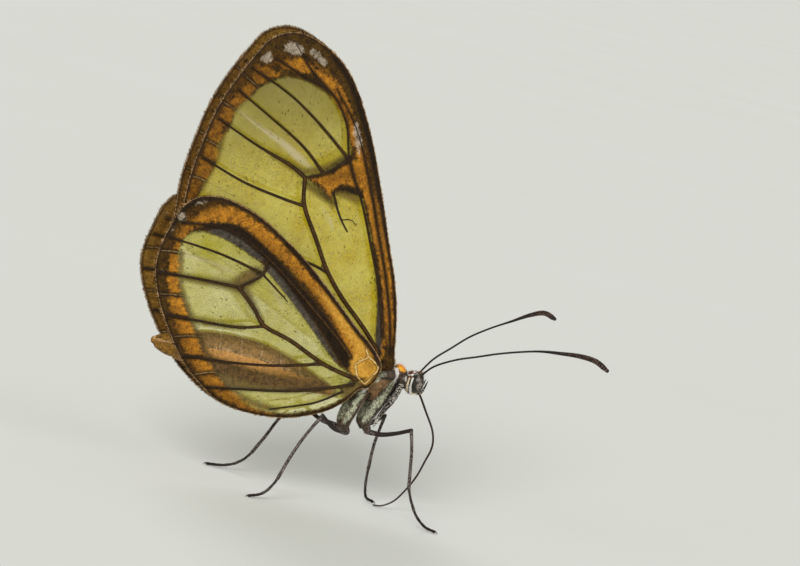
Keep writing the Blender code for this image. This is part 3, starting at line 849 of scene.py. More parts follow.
@dataclass(frozen=True)
class WingFinish(Finish):
    """Bare wing film with scaled borders.

    Chitin film grown in the pupa, glossy and see-through where it is bare. Overlapping scales make
    the borders matt, grainy and opaque. The film keeps a straw tint and faint creases, with painted
    highlight streaks and painted shade along its folds.
    """

    film: str = "CEB610"
    film_pale: str = "E2D458"
    film_cover: float = 0.5
    thin_cover: float = 0.5
    scales_mm: float = 0.11

    def surface(self, tree: NodeTree) -> dict[str, object]:
        """Add the nodes of film, scales and veins.

        Args:
            tree: The material's tree.

        Returns:
            What feeds the shader, by the inputs' names.
        """
        add = partial(add_node, tree)
        noise = Grain.of(tree, 0.4, 0.12)
        place = add("ShaderNodeTexCoord").outputs["Object"]
        bare = self.bare_share(tree, noise)
        thin = add("ShaderNodeAttribute", attribute_name="thin").outputs["Fac"]
        film_cover = add("ShaderNodeMapRange", {"Value": thin, "From Min": -0.15, "From Max": 0.25,
                                                "To Min": self.film_cover, "To Max": self.thin_cover},
                         interpolation_type="SMOOTHSTEP")
        cover = add("ShaderNodeMapRange", {"Value": bare, "To Min": 1.0, "To Max": film_cover})
        through = add("ShaderNodeMath", {0: bare, 1: film_cover}, operation="MULTIPLY")
        film_share = add("ShaderNodeMath", {0: through, 1: cover}, operation="DIVIDE")
        both = add("ShaderNodeMix", {"Factor": film_share, "A": scale_colour(tree, noise),
                                     "B": self.film_colour(tree, place, noise)}, data_type="RGBA")
        veins = (Mark("vein", "2E1C06", "1E1204", edge=0.03, ragged=0.015),
                 Mark("vein_core", "6E4A18", "3A2408", edge=0.03, ragged=0.03, cover=0.6))
        rough = add("ShaderNodeMapRange", {"Value": bare, "To Min": 0.6, "To Max": 0.2})
        scales = add("ShaderNodeTexVoronoi", {"Vector": place, "Scale": per_mm(self.scales_mm)})
        height = add("ShaderNodeMapRange", {"Value": bare, "To Min": 1.0, "To Max": 0.12})
        relief = add("ShaderNodeMath", {0: scales, 1: height}, operation="MULTIPLY")
        bump = add("ShaderNodeBump", {"Height": relief, "Strength": 0.6, "Distance": 0.04 * MM})
        return {"Base Color": paint(tree, both, veins, noise), "Alpha": cover, "Roughness": rough,
                "Normal": bump, "IOR": CHITIN_IOR, "Specular IOR Level": 0.15}

    def bare_share(self, tree: NodeTree, noise: Grain) -> Node:
        """Add the nodes that tell bare film, 1, from scaled film and veins, 0.

        Args:
            tree: The material's tree.
            noise: The finish's noises.

        Returns:
            The node that gives the share of bare film.
        """
        share = eased_depth(tree, Mark("clear", edge=0.15, ragged=0.18), noise)
        for mark in (Mark("vein", edge=0.03, ragged=0.015, cover=0.0),
                     Mark("haze", edge=0.3, ragged=0.2, cover=0.18),
                     Mark("grey", edge=0.1, ragged=0.12, cover=0.1)):
            part = eased_depth(tree, mark, noise, outside=1.0)
            share = add_node(tree, "ShaderNodeMath", {0: share, 1: part}, operation="MULTIPLY")
        return share

    def film_colour(self, tree: NodeTree, place: object, noise: Grain) -> Node:
        """Add the nodes of the film's straw tint, duller outward, of what lies on it, and of its painted
        highlight streaks and painted shade along the folds.

        Args:
            tree: The material's tree.
            place: The socket of the object's own coordinates.
            noise: The finish's noises.

        Returns:
            The node that gives the film's colour.
        """
        add = partial(add_node, tree)
        cloud = add("ShaderNodeTexNoise", {"Vector": place, "Scale": per_mm(2.2), "Detail": 5.0})
        drift = add("ShaderNodeMapRange", {"Value": cloud, "From Min": 0.36, "From Max": 0.64})
        colour = add("ShaderNodeMix", {"Factor": drift, "A": linear(self.film), "B": linear(self.film_pale)},
                     data_type="RGBA")
        along = add("ShaderNodeVectorMath", {0: place, 1: (0.4, 0.0, -1.0)}, operation="DOT_PRODUCT")
        outward = add("ShaderNodeMapRange", {"Value": along, "From Min": -26 * MM, "From Max": -37 * MM})
        dust = add("ShaderNodeMath", {0: noise.grain, 1: -0.3, 2: 0.3}, operation="MULTIPLY_ADD")
        # Painted highlight: pale streaks where light glances off the film.
        glint = add("ShaderNodeAttribute", attribute_name="glint").outputs["Fac"]
        shine = add("ShaderNodeMapRange", {"Value": glint, "From Min": -0.12, "From Max": 0.22,
                                           "To Max": 0.7}, interpolation_type="SMOOTHSTEP")
        bend = add("ShaderNodeTexNoise", {"Vector": place, "Scale": per_mm(1.1), "Detail": 3.0,
                                          "Distortion": 2.5})
        crease = add("ShaderNodeMath", {0: bend, 1: 0.5, 2: 0.006}, operation="COMPARE")
        faint = add("ShaderNodeMath", {0: crease, 1: 0.5}, operation="MULTIPLY")
        spots = add("ShaderNodeTexVoronoi", {"Vector": place, "Scale": per_mm(0.7)})
        speck = add("ShaderNodeMapRange", {"Value": spots, "From Min": 0.05, "From Max": 0.1, "To Min": 0.55,
                                           "To Max": 0.0})
        layers = ((outward, "7A6C14"), (dust, "6E6216"), (shine, "D8CCA4"), (faint, "7A640E"),
                  (speck, "5A4A10"))
        for share, code in layers:
            colour = add("ShaderNodeMix", {"Factor": share, "A": colour, "B": linear(code)}, data_type="RGBA")
        # Painted shade along the pleat lines of the bare film.
        fold_shade_and_highlight = Mark("fold_shade_and_highlight", "8A742A", "6E5A1C", edge=0.03, ragged=0.04, cover=0.6)
        return paint(tree, colour, (fold_shade_and_highlight,), noise)


@dataclass(frozen=True)
class ScaleFinish(Finish):
    """Wing scales: flat chitin flakes, dry and matt, in the colours of the border that they cover."""

    def surface(self, tree: NodeTree) -> dict[str, object]:
        """Add the finish's nodes and return what feeds the shader."""
        colour = scale_colour(tree, Grain.of(tree, 0.4, 0.07))
        return {"Base Color": colour, "Roughness": 0.55, "IOR": CHITIN_IOR, "Specular IOR Level": 0.12}


BODY_MARKS = (
    Mark("tan", "F0AC60", "B87E42", edge=0.2, ragged=0.5, cover=0.9),
    Mark("back", "B6844E", "6C4C30", edge=0.2, ragged=0.4, cover=0.9),
    Mark("belly", "C69056", "845C36", edge=0.2, ragged=0.3, cover=0.9),
    Mark("tip", "AC7A16", "3A240A", edge=0.2, ragged=0.3, cover=0.95),
    Mark("rust", "98724A", "584228", edge=0.08, ragged=0.1),
    Mark("umber", "1A120C", "0A0604", edge=0.08, ragged=0.06),
    Mark("pale", "DCB890", "9A7658", edge=0.05, ragged=0.14, cover=0.7),
    Mark("lichen", "D2D4B4", "2E2C1E", edge=0.08, ragged=0.2, cover=0.95),
    Mark("cream", "FFF2D2", "DCC294", edge=0.03, ragged=0.03),
    Mark("crown", "9A5422", "2E160A", edge=0.05, ragged=0.08),
    Mark("white", "FFFDF8", "C8C0B8", edge=0.03, ragged=0.04),
    Mark("orange", "FFCC44", "FF9E1C", edge=0.08, ragged=0.1),
)


@dataclass(frozen=True)
class BodyFinish(Finish):
    """Butterfly skin or its hairs: dark chitin under a close nap of scales, matt with a faint sheen."""

    light: str = "5A4636"
    dark: str = "1C1410"
    relief: float = 0.03
    roughness: float = 0.7

    def surface(self, tree: NodeTree) -> dict[str, object]:
        """Add the nodes of the markings, the pale flecks and, on skin, their relief.

        Args:
            tree: The material's tree.

        Returns:
            What feeds the shader, by the inputs' names.
        """
        add = partial(add_node, tree)
        noise = Grain.of(tree, 0.3, 0.09)
        plain = add("ShaderNodeMix", {"Factor": noise.grain, "A": linear(self.dark), "B": linear(self.light)},
                    data_type="RGBA")
        colour = paint(tree, plain, BODY_MARKS, noise)
        place = add("ShaderNodeTexCoord").outputs["Object"]
        flecks = add("ShaderNodeTexVoronoi", {"Vector": place, "Scale": per_mm(0.13)})
        fleck = add("ShaderNodeMapRange", {"Value": flecks, "From Min": 0.12, "From Max": 0.22, "To Min": 0.4,
                                           "To Max": 0.0})
        speckled = add("ShaderNodeMix", {"Factor": fleck, "A": colour, "B": linear("B8A88E")},
                       data_type="RGBA")
        fed = {"Base Color": speckled, "Roughness": self.roughness, "Specular IOR Level": 0.3,
               "Sheen Weight": 0.05}
        if self.relief:
            bump = add("ShaderNodeBump", {"Height": flecks, "Strength": 0.7, "Distance": self.relief * MM})
            fed["Normal"] = bump
        return fed


@dataclass(frozen=True)
class EyeFinish(Finish):
    """Compound eye: thousands of tiny lenses under clear chitin, wet-looking, grey with lighter bands, the
    broad one over its upper half a painted reflection.
    """

    facet_mm: float = 0.045

    def surface(self, tree: NodeTree) -> dict[str, object]:
        """Add the nodes of bands and facets. Real facets are half this size, too fine to show.

        Args:
            tree: The material's tree.

        Returns:
            What feeds the shader, by the inputs' names.
        """
        add = partial(add_node, tree)
        noise = Grain.of(tree, 0.25, 0.06)
        grey = add("ShaderNodeMix", {"Factor": noise.grain, "A": linear("12100A"), "B": linear("302A20")},
                   data_type="RGBA")
        # The bands are lighter streaks; the broad one over the eye's upper half is a painted reflection.
        marks = (Mark("band", "C0B0A4", "60564C", edge=0.09, ragged=0.32, cover=0.7),
                 Mark("shadow", "0C0E06", "060703", edge=0.05, ragged=0.03, cover=0.95),
                 Mark("rim", "FFFDF8", "C8C0B8", edge=0.03, ragged=0.04))
        place = add("ShaderNodeTexCoord").outputs["Object"]
        lenses = add("ShaderNodeTexVoronoi", {"Vector": place, "Scale": per_mm(self.facet_mm),
                                              "Randomness": 0.35})
        bump = add("ShaderNodeBump", {"Height": lenses, "Strength": 0.35, "Distance": 0.012 * MM},
                   invert=True)
        return {"Base Color": paint(tree, grey, marks, noise), "Normal": bump, "Roughness": 0.35,
                "Specular IOR Level": 0.3, "Coat Weight": 0.2, "Coat Roughness": 0.12, "IOR": 1.5}


@dataclass(frozen=True)
class ChitinFinish(Finish):
    """Thinly scaled chitin of legs, feelers and tongue: dark, satin, with pale scales sprinkled on."""

    dark: str
    light: str
    fleck: str = "A89A8C"
    fleck_mm: float = 0.09
    roughness: float = 0.45

    def surface(self, tree: NodeTree) -> dict[str, object]:
        """Add the nodes of the chitin and of the scales on it, as close as the field powder says.

        Args:
            tree: The material's tree.

        Returns:
            What feeds the shader, by the inputs' names.
        """
        add = partial(add_node, tree)
        noise = Grain.of(tree, 0.25, 0.08)
        place = add("ShaderNodeTexCoord").outputs["Object"]
        colour = add("ShaderNodeMix", {"Factor": noise.grain, "A": linear(self.dark),
                                       "B": linear(self.light)}, data_type="RGBA")
        powder = add("ShaderNodeAttribute", attribute_name="powder").outputs["Fac"]
        cells = add("ShaderNodeTexVoronoi", {"Vector": place, "Scale": per_mm(self.fleck_mm)})
        close = add("ShaderNodeMath", {0: powder, 1: 0.55, 2: 0.05}, operation="MULTIPLY_ADD")
        near = add("ShaderNodeMath", {0: close, 1: cells}, operation="SUBTRACT")
        dust = add("ShaderNodeMapRange", {"Value": near, "From Min": -0.04, "From Max": 0.08, "To Max": 0.85})
        dusted = add("ShaderNodeMix", {"Factor": dust, "A": colour, "B": linear(self.fleck)},
                     data_type="RGBA")
        bump = add("ShaderNodeBump", {"Height": cells, "Strength": 0.5, "Distance": 0.015 * MM})
        return {"Base Color": dusted, "Normal": bump, "Roughness": self.roughness, "Specular IOR Level": 0.25}


@dataclass(frozen=True)
class FloorFinish(Finish):
    """Matt painted board, with a trace of mottling that the eye reads as paint and not as a void."""

    def surface(self, tree: NodeTree) -> dict[str, object]:
        """Add the nodes of the paint.

        Args:
            tree: The material's tree.

        Returns:
            What feeds the shader, by the inputs' names.
        """
        add = partial(add_node, tree)
        place = add("ShaderNodeTexCoord").outputs["Object"]
        cloud = add("ShaderNodeTexNoise", {"Vector": place, "Scale": per_mm(60.0), "Detail": 3.0})
        colour = add("ShaderNodeMix", {"Factor": cloud, "A": linear("E2E3DC"), "B": linear("E8E9E3")},
                     data_type="RGBA")
        return {"Base Color": colour, "Roughness": 0.9}


# Wings

@dataclass(frozen=True)
class Vein:
    """A wing vein through (x, z) points, with its half width at the root and at the tip."""

    points: tuple
    root: float = 0.13
    tip: float = 0.08

    def line(self) -> Array:
        """Return its middle line with the half width as a third column."""
        path = smooth_line(self.points, 6)
        return np.column_stack([path, np.linspace(self.root, self.tip, len(path))])


@dataclass
class WingPlan:
    """The flat plan that both wings of a pair share: outline, veins, markings and their mesh."""

    name: str
    hind: bool
    outline: tuple
    veins: dict[str, Vein]
    window: Patch
    marks: dict[str, tuple]
    sheet: float = 0.05
    ridge: float = 0.055
    rim_step: float = 0.3
    grid_step: float = 0.27
    track_step: float = 0.4
    thin_track: float = 0.12
    margin_half: float = 0.05
    core_inset: float = 0.085

    def __post_init__(self) -> None:
        """Mesh the plan once."""
        self.rim = spaced(smooth_line(self.outline, 8, closed=True), self.rim_step, closed=True)
        self.flat, self.triangles = self.mesh_flat()
        self.fields = self.read_fields(self.flat)

    def mesh_flat(self) -> tuple[Array, list[tuple[int, ...]]]:
        """Triangulate the outline, with rows of vertices along each fine line and an even grid between.

        Returns:
            The flat points and the triangles.
        """
        points, edges = [self.rim], [(k, (k + 1) % len(self.rim)) for k in range(len(self.rim))]
        first = len(self.rim)
        tracks = self.tracks()
        for line in tracks:
            ahead = np.gradient(line[:, :2], axis=0)
            ahead /= np.linalg.norm(ahead, axis=1)[:, None]
            aside = np.column_stack([-ahead[:, 1], ahead[:, 0]])
            for share in (-1.0, -0.55, 0.0, 0.55, 1.0):
                points.append(line[:, :2] + aside * line[:, 2:] * share)
                edges += [(first + k, first + k + 1) for k in range(len(line) - 1)]
                first += len(line)
        low, high = self.rim.min(0), self.rim.max(0)
        rows = np.arange(low[1], high[1], self.grid_step * math.sqrt(0.75))
        grid = np.array([(x + (j % 2) * self.grid_step / 2, z) for j, z in enumerate(rows)
                         for x in np.arange(low[0], high[0], self.grid_step)])
        inside = loop_depth(grid, self.rim) > self.grid_step / 2
        free = np.maximum.reduce([stroke_depth(grid, line[:, :2], line[:, 2]) for line in tracks])
        free = free < -0.3 * self.grid_step
        points.append(grid[inside & free])
        every = [Vector(p) for p in np.vstack(points)]
        flat, _, triangles, *_ = delaunay_2d_cdt(every, edges, [], 1, 1e-4)
        return np.array([tuple(p) for p in flat]), [tuple(t) for t in triangles]

    def tracks(self) -> list[Array]:
        """Find the lines that need rows of vertices of their own.

        Returns:
            The lines of veins, folds and ribs, each with the half width of its rows.
        """
        thin = [smooth_line(area.line, 5) * (1.0, 1.0, 0.0) + (0.0, 0.0, self.thin_track)
                for name in ("fold_shade_and_highlight", "rib") for area in self.marks.get(name, ())]
        return ([spaced(vein.line(), self.track_step) for vein in self.veins.values()]
                + [spaced(line, self.track_step / 2) for line in thin])

    def vein_depth(self, points: Array) -> Array:
        """Return how deep points lie inside the nearest vein."""
        lines = [vein.line() for vein in self.veins.values()]
        return np.maximum.reduce([stroke_depth(points, line[:, :2], line[:, 2]) for line in lines])

    def read_fields(self, points: Array) -> dict[str, Array]:
        """Read every field of the plan.

        Args:
            points: Flat points, one a row.

        Returns:
            For each field's name, its depth at the points. The field coat is a share of full density.
        """
        fields = {name: deepest(points, self.marks[name]) if name in self.marks
                  else np.full(len(points), FAR_OUTSIDE) for name in WING_FIELDS}
        clear = np.minimum(self.window.depth(points), -fields.pop("closed"))
        margin = -loop_depth(points, self.rim) + self.margin_half
        vein = self.vein_depth(points)
        coat = np.clip(-np.minimum(clear, 0.05 - vein) / 0.1, 0.012, 1.0) * (vein < 0.02)
        coat *= fields["rib"] < 0.06
        return {**fields, "clear": clear, "vein": vein, "vein_core": vein - self.core_inset, "coat": coat,
                "margin": margin}


@dataclass
class Wing:
    """One wing in its place: a closed sheet of film with raised veins, its scales and its fringe."""

    plan: WingPlan
    side: Side
    turn: float
    root: tuple = (-0.15, 10.5)
    root_y: float = 0.8
    spread_up: float = 0.0224
    spread_back: float = 0.0383
    hind_offset: float = 0.75
    hind_flare: float = 0.17
    flare_reach: float = 4.0
    sag: float = 0.04
    bare_root: float = 2.5
    fringe_start: float = 9.0
    fringe_run: float = 4.0

    def middle_y(self, flat: Array) -> Array:
        """Work out how far the wing's middle lies from the animal's middle plane.

        Args:
            flat: Points of the plan.

        Returns:
            The distance at each point, with the sheet's slight waves.
        """
        back, up = self.root[0] - flat[:, 0], flat[:, 1] - self.root[1]
        place = self.root_y + self.spread_up * up + self.spread_back * back
        if self.plan.hind:
            place = place + self.hind_offset
            place += self.hind_flare * smooth_step(np.hypot(back, up) / self.flare_reach)
        wave = np.sin(1.1 * flat[:, 0] + 0.7 * flat[:, 1]) + np.sin(1.0 - 0.6 * flat[:, 0] + 1.3 * flat[:, 1])
        return place + self.sag * wave * smooth_step(np.hypot(back, up) / self.flare_reach)

    def put(self, flat: Array, lift: Array | float) -> Array:
        """Carry flat points to their place in space.

        Args:
            flat: Points of the plan.
            lift: How far each lies outward from the wing's middle.

        Returns:
            The points in millimetres, one a row.
        """
        sine, cosine = math.sin(self.turn), math.cos(self.turn)
        x, z = flat[:, 0] - self.root[0], flat[:, 1] - self.root[1]
        return np.column_stack([self.root[0] + x * cosine - z * sine,
                                self.side.value * (self.middle_y(flat) + lift),
                                self.root[1] + x * sine + z * cosine])

    def sheet(self) -> Shape:
        """Make the closed sheet.

        Returns:
            The shape, its veins raised on both faces.
        """
        plan, flat = self.plan, self.plan.flat
        ridge = plan.ridge * np.sqrt(np.clip(plan.fields["vein"] / 0.1, 0.0, 1.0))
        half = plan.sheet / 2 + ridge
        count = len(flat)
        outer = plan.triangles if self.side is Side.RIGHT else [t[::-1] for t in plan.triangles]
        faces = list(outer) + [tuple(count + k for k in t[::-1]) for t in outer]
        borders = {(a, b) for t in outer for a, b in zip(t, t[1:] + t[:1])}
        for a, b in sorted(borders):
            if (b, a) not in borders:
                faces.append((b, a, count + a, count + b))
        return np.vstack([self.put(flat, half), self.put(flat, -half)]), faces

    def directions(self, flat: Array, ways: Array) -> Array:
        """Turn flat directions into directions in space.

        Args:
            flat: Points of the plan.
            ways: A flat direction at each.

        Returns:
            The directions, each a unit long.
        """
        step = 0.01
        moved = self.put(flat + ways * step, 0.0) - self.put(flat, 0.0)
        return moved / np.maximum(np.linalg.norm(moved, axis=1), 1e-9)[:, None]

    def dress(self, frame: Frame, film: Material, scales: Coat, fringe: Coat) -> None:
        """Build the wing, its scales and its fringe, and settle them.

        Args:
            frame: The frame of the solids.
            film: The finish of the sheet.
            scales: The scales of the borders.
            fringe: The fringe of the margin.
        """
        plan, node = self.plan, f"{self.plan.name}_{self.side.word}"
        outward = plan.flat - np.array(self.root)
        outward /= np.maximum(np.linalg.norm(outward, axis=1), 1e-9)[:, None]
        lie = self.directions(plan.flat, outward)
        fields = {name: np.concatenate([values, values + INNER_FACE.get(name, 0.0)])
                  for name, values in plan.fields.items()}
        fields |= {"lie": np.vstack([lie, lie]), "reach": np.ones(2 * len(plan.flat))}
        sheet = new_piece(f"{node}_film", self.sheet(), film, fields)
        low, high = plan.rim.min(0) - 1.0, plan.rim.max(0) + 1.0
        middle_y = self.root_y + (self.hind_offset if plan.hind else 0.0)
        unwrap = WingUnwrap(tuple(low), tuple(high), middle_y, self.spread_back)
        coat = scales.grow(f"{node}_scales", sheet, unwrap)
        edge = self.edge_line(f"{node}_edge")
        hem = fringe.grow(f"{node}_fringe", edge, unwrap)
        bpy.data.objects.remove(edge)
        frame.settle(sheet, plan.name, (node,))
        frame.settle(coat, plan.name)
        frame.settle(hem, plan.name)

    def edge_line(self, name: str) -> Object:
        """Make the line that the fringe grows along.

        Args:
            name: The line's object name.

        Returns:
            The rim as a mesh of edges, left out near the root.
        """
        rim = self.plan.rim
        away = np.hypot(rim[:, 0] - self.root[0], rim[:, 1] - self.root[1])
        start = int(np.argmin(away))
        rim = np.roll(rim, -start, axis=0)
        away = np.roll(away, -start)
        rim = rim[away > self.bare_root]
        ahead = np.gradient(rim, axis=0)
        out = np.column_stack([ahead[:, 1], -ahead[:, 0]])
        out *= np.sign((out * (rim - self.plan.flat.mean(0))).sum(1))[:, None]
        out /= np.linalg.norm(out, axis=1)[:, None]
        outer = smooth_step((-rim[:, 0] - self.fringe_start) / self.fringe_run)
        mesh = bpy.data.meshes.new(name)
        mesh.from_pydata(self.put(rim, 0.0).tolist(), [(k, k + 1) for k in range(len(rim) - 1)], [])
        fields = self.plan.read_fields(rim - out * 0.1)
        level = np.tile([0.0, float(self.side.value), 0.0], (len(rim), 1))
        store_fields(mesh, fields | {"lie": self.directions(rim, out), "reach": 0.35 + 0.65 * outer,
                                     "level": level})
        edge = bpy.data.objects.new(name, mesh)
        bpy.context.scene.collection.objects.link(edge)
        return edge


FOREWING_COSTA = ((0.3, 12.3, 0.1), (-0.4, 15.3, 0.12), (-1.1, 17.6, 0.16), (-2.1, 19.9, 0.24),
    (-3.6, 23.4, 0.36), (-5.1, 26.7, 0.44), (-6.4, 29.2, 0.5), (-8.2, 31.9, 0.5), (-9.9, 33.4, 0.45))
FOREWING_OUTLINE = ((0.4, 11.0), (0.2, 12.5), (-0.4, 15.3), (-1.1, 17.6), (-2.1, 19.9), (-3.6, 23.4),
    (-5.1, 26.7), (-6.4, 29.2), (-8.2, 31.9), (-9.9, 33.4), (-12.0, 34.3), (-13.6, 34.4), (-15.1, 33.6),
    (-16.0, 32.1), (-17.0, 30.0), (-17.8, 27.7), (-18.2, 25.6), (-18.5, 23.2), (-18.6, 21.4), (-18.5, 19.4),
    (-18.3, 17.9), (-17.3, 16.8), (-12.8, 15.1), (-7.5, 12.6), (-3.0, 10.5), (-0.9, 9.5))
FOREWING_VEINS = {
    "subcosta": Vein(((-0.1, 12.2), (-1.0, 15.3), (-2.1, 18.2), (-3.9, 22.2), (-5.6, 25.8), (-7.2, 28.6),
        (-9.3, 31.0)), 0.07, 0.04),
    "radius": Vein(((-1.0, 13.4), (-2.2, 16.8), (-3.7, 20.0), (-5.2, 23.0), (-7.0, 26.0), (-7.9, 28.6),
        (-9.6, 30.6), (-12.1, 31.4), (-14.4, 32.2)), 0.1, 0.05),
    "radius_fork": Vein(((-9.6, 30.6), (-11.6, 32.0), (-13.2, 33.6)), 0.06, 0.04),
    "cubitus": Vein(((-1.0, 12.1), (-2.7, 13.8), (-4.9, 15.7), (-6.5, 17.4), (-7.9, 19.5), (-9.5, 21.9),
        (-10.0, 24.0)), 0.16, 0.15),
    "cell_end": Vein(((-10.0, 24.0), (-8.7, 24.6), (-7.0, 26.0)), 0.1, 0.1),
    "recurrent": Vein(((-7.6, 23.4), (-6.95, 22.15), (-6.35, 21.3), (-5.8, 20.7)), 0.09, 0.05),
    "hook": Vein(((-6.4, 21.5), (-5.9, 21.65), (-5.6, 21.6), (-5.3, 21.3)), 0.035, 0.02),
    "media_1": Vein(((-7.0, 26.0), (-9.4, 27.8), (-11.9, 29.4), (-13.8, 30.3), (-16.0, 31.1)), 0.12, 0.06),
    "media_2": Vein(((-8.7, 24.6), (-10.8, 26.3), (-14.0, 28.0), (-16.6, 29.3)), 0.12, 0.06),
    "media_3": Vein(((-10.0, 24.0), (-11.4, 24.7), (-14.2, 25.6), (-17.5, 26.9)), 0.16, 0.06),
    "cubitus_1": Vein(((-9.5, 21.9), (-11.2, 22.1), (-14.5, 22.7), (-17.9, 23.8)), 0.12, 0.07),
    "cubitus_2": Vein(((-6.4, 17.3), (-8.2, 17.8), (-13.0, 18.7), (-18.0, 19.9)), 0.1, 0.07),
    "anal": Vein(((-2.0, 11.3), (-7.0, 13.6), (-12.6, 15.9), (-17.6, 17.6)), 0.12, 0.08),
}
FOREWING_WINDOW = Patch(((-15.4, 29.3), (-16.0, 28.6), (-16.5, 27.8), (-16.5, 26.7), (-16.8, 25.9),
    (-17.1, 25.1), (-17.1, 24.3), (-16.9, 23.5), (-17.3, 22.4), (-17.6, 21.0), (-17.8, 19.2), (-18.0, 17.9),
    (-17.2, 16.95), (-12.8, 15.25), (-7.5, 12.75), (-3.0, 10.7), (-1.6, 11.0), (-1.3, 12.2), (-1.5, 13.4),
    (-2.1, 15.9), (-2.9, 18.1), (-3.6, 19.9), (-4.4, 21.7), (-5.6, 23.9), (-6.7, 25.6), (-7.1, 26.7),
    (-7.5, 27.7), (-8.1, 28.8), (-9.2, 30.0), (-10.2, 30.6), (-12.1, 31.1), (-13.4, 31.0), (-14.2, 30.5),
    (-15.0, 29.9)))
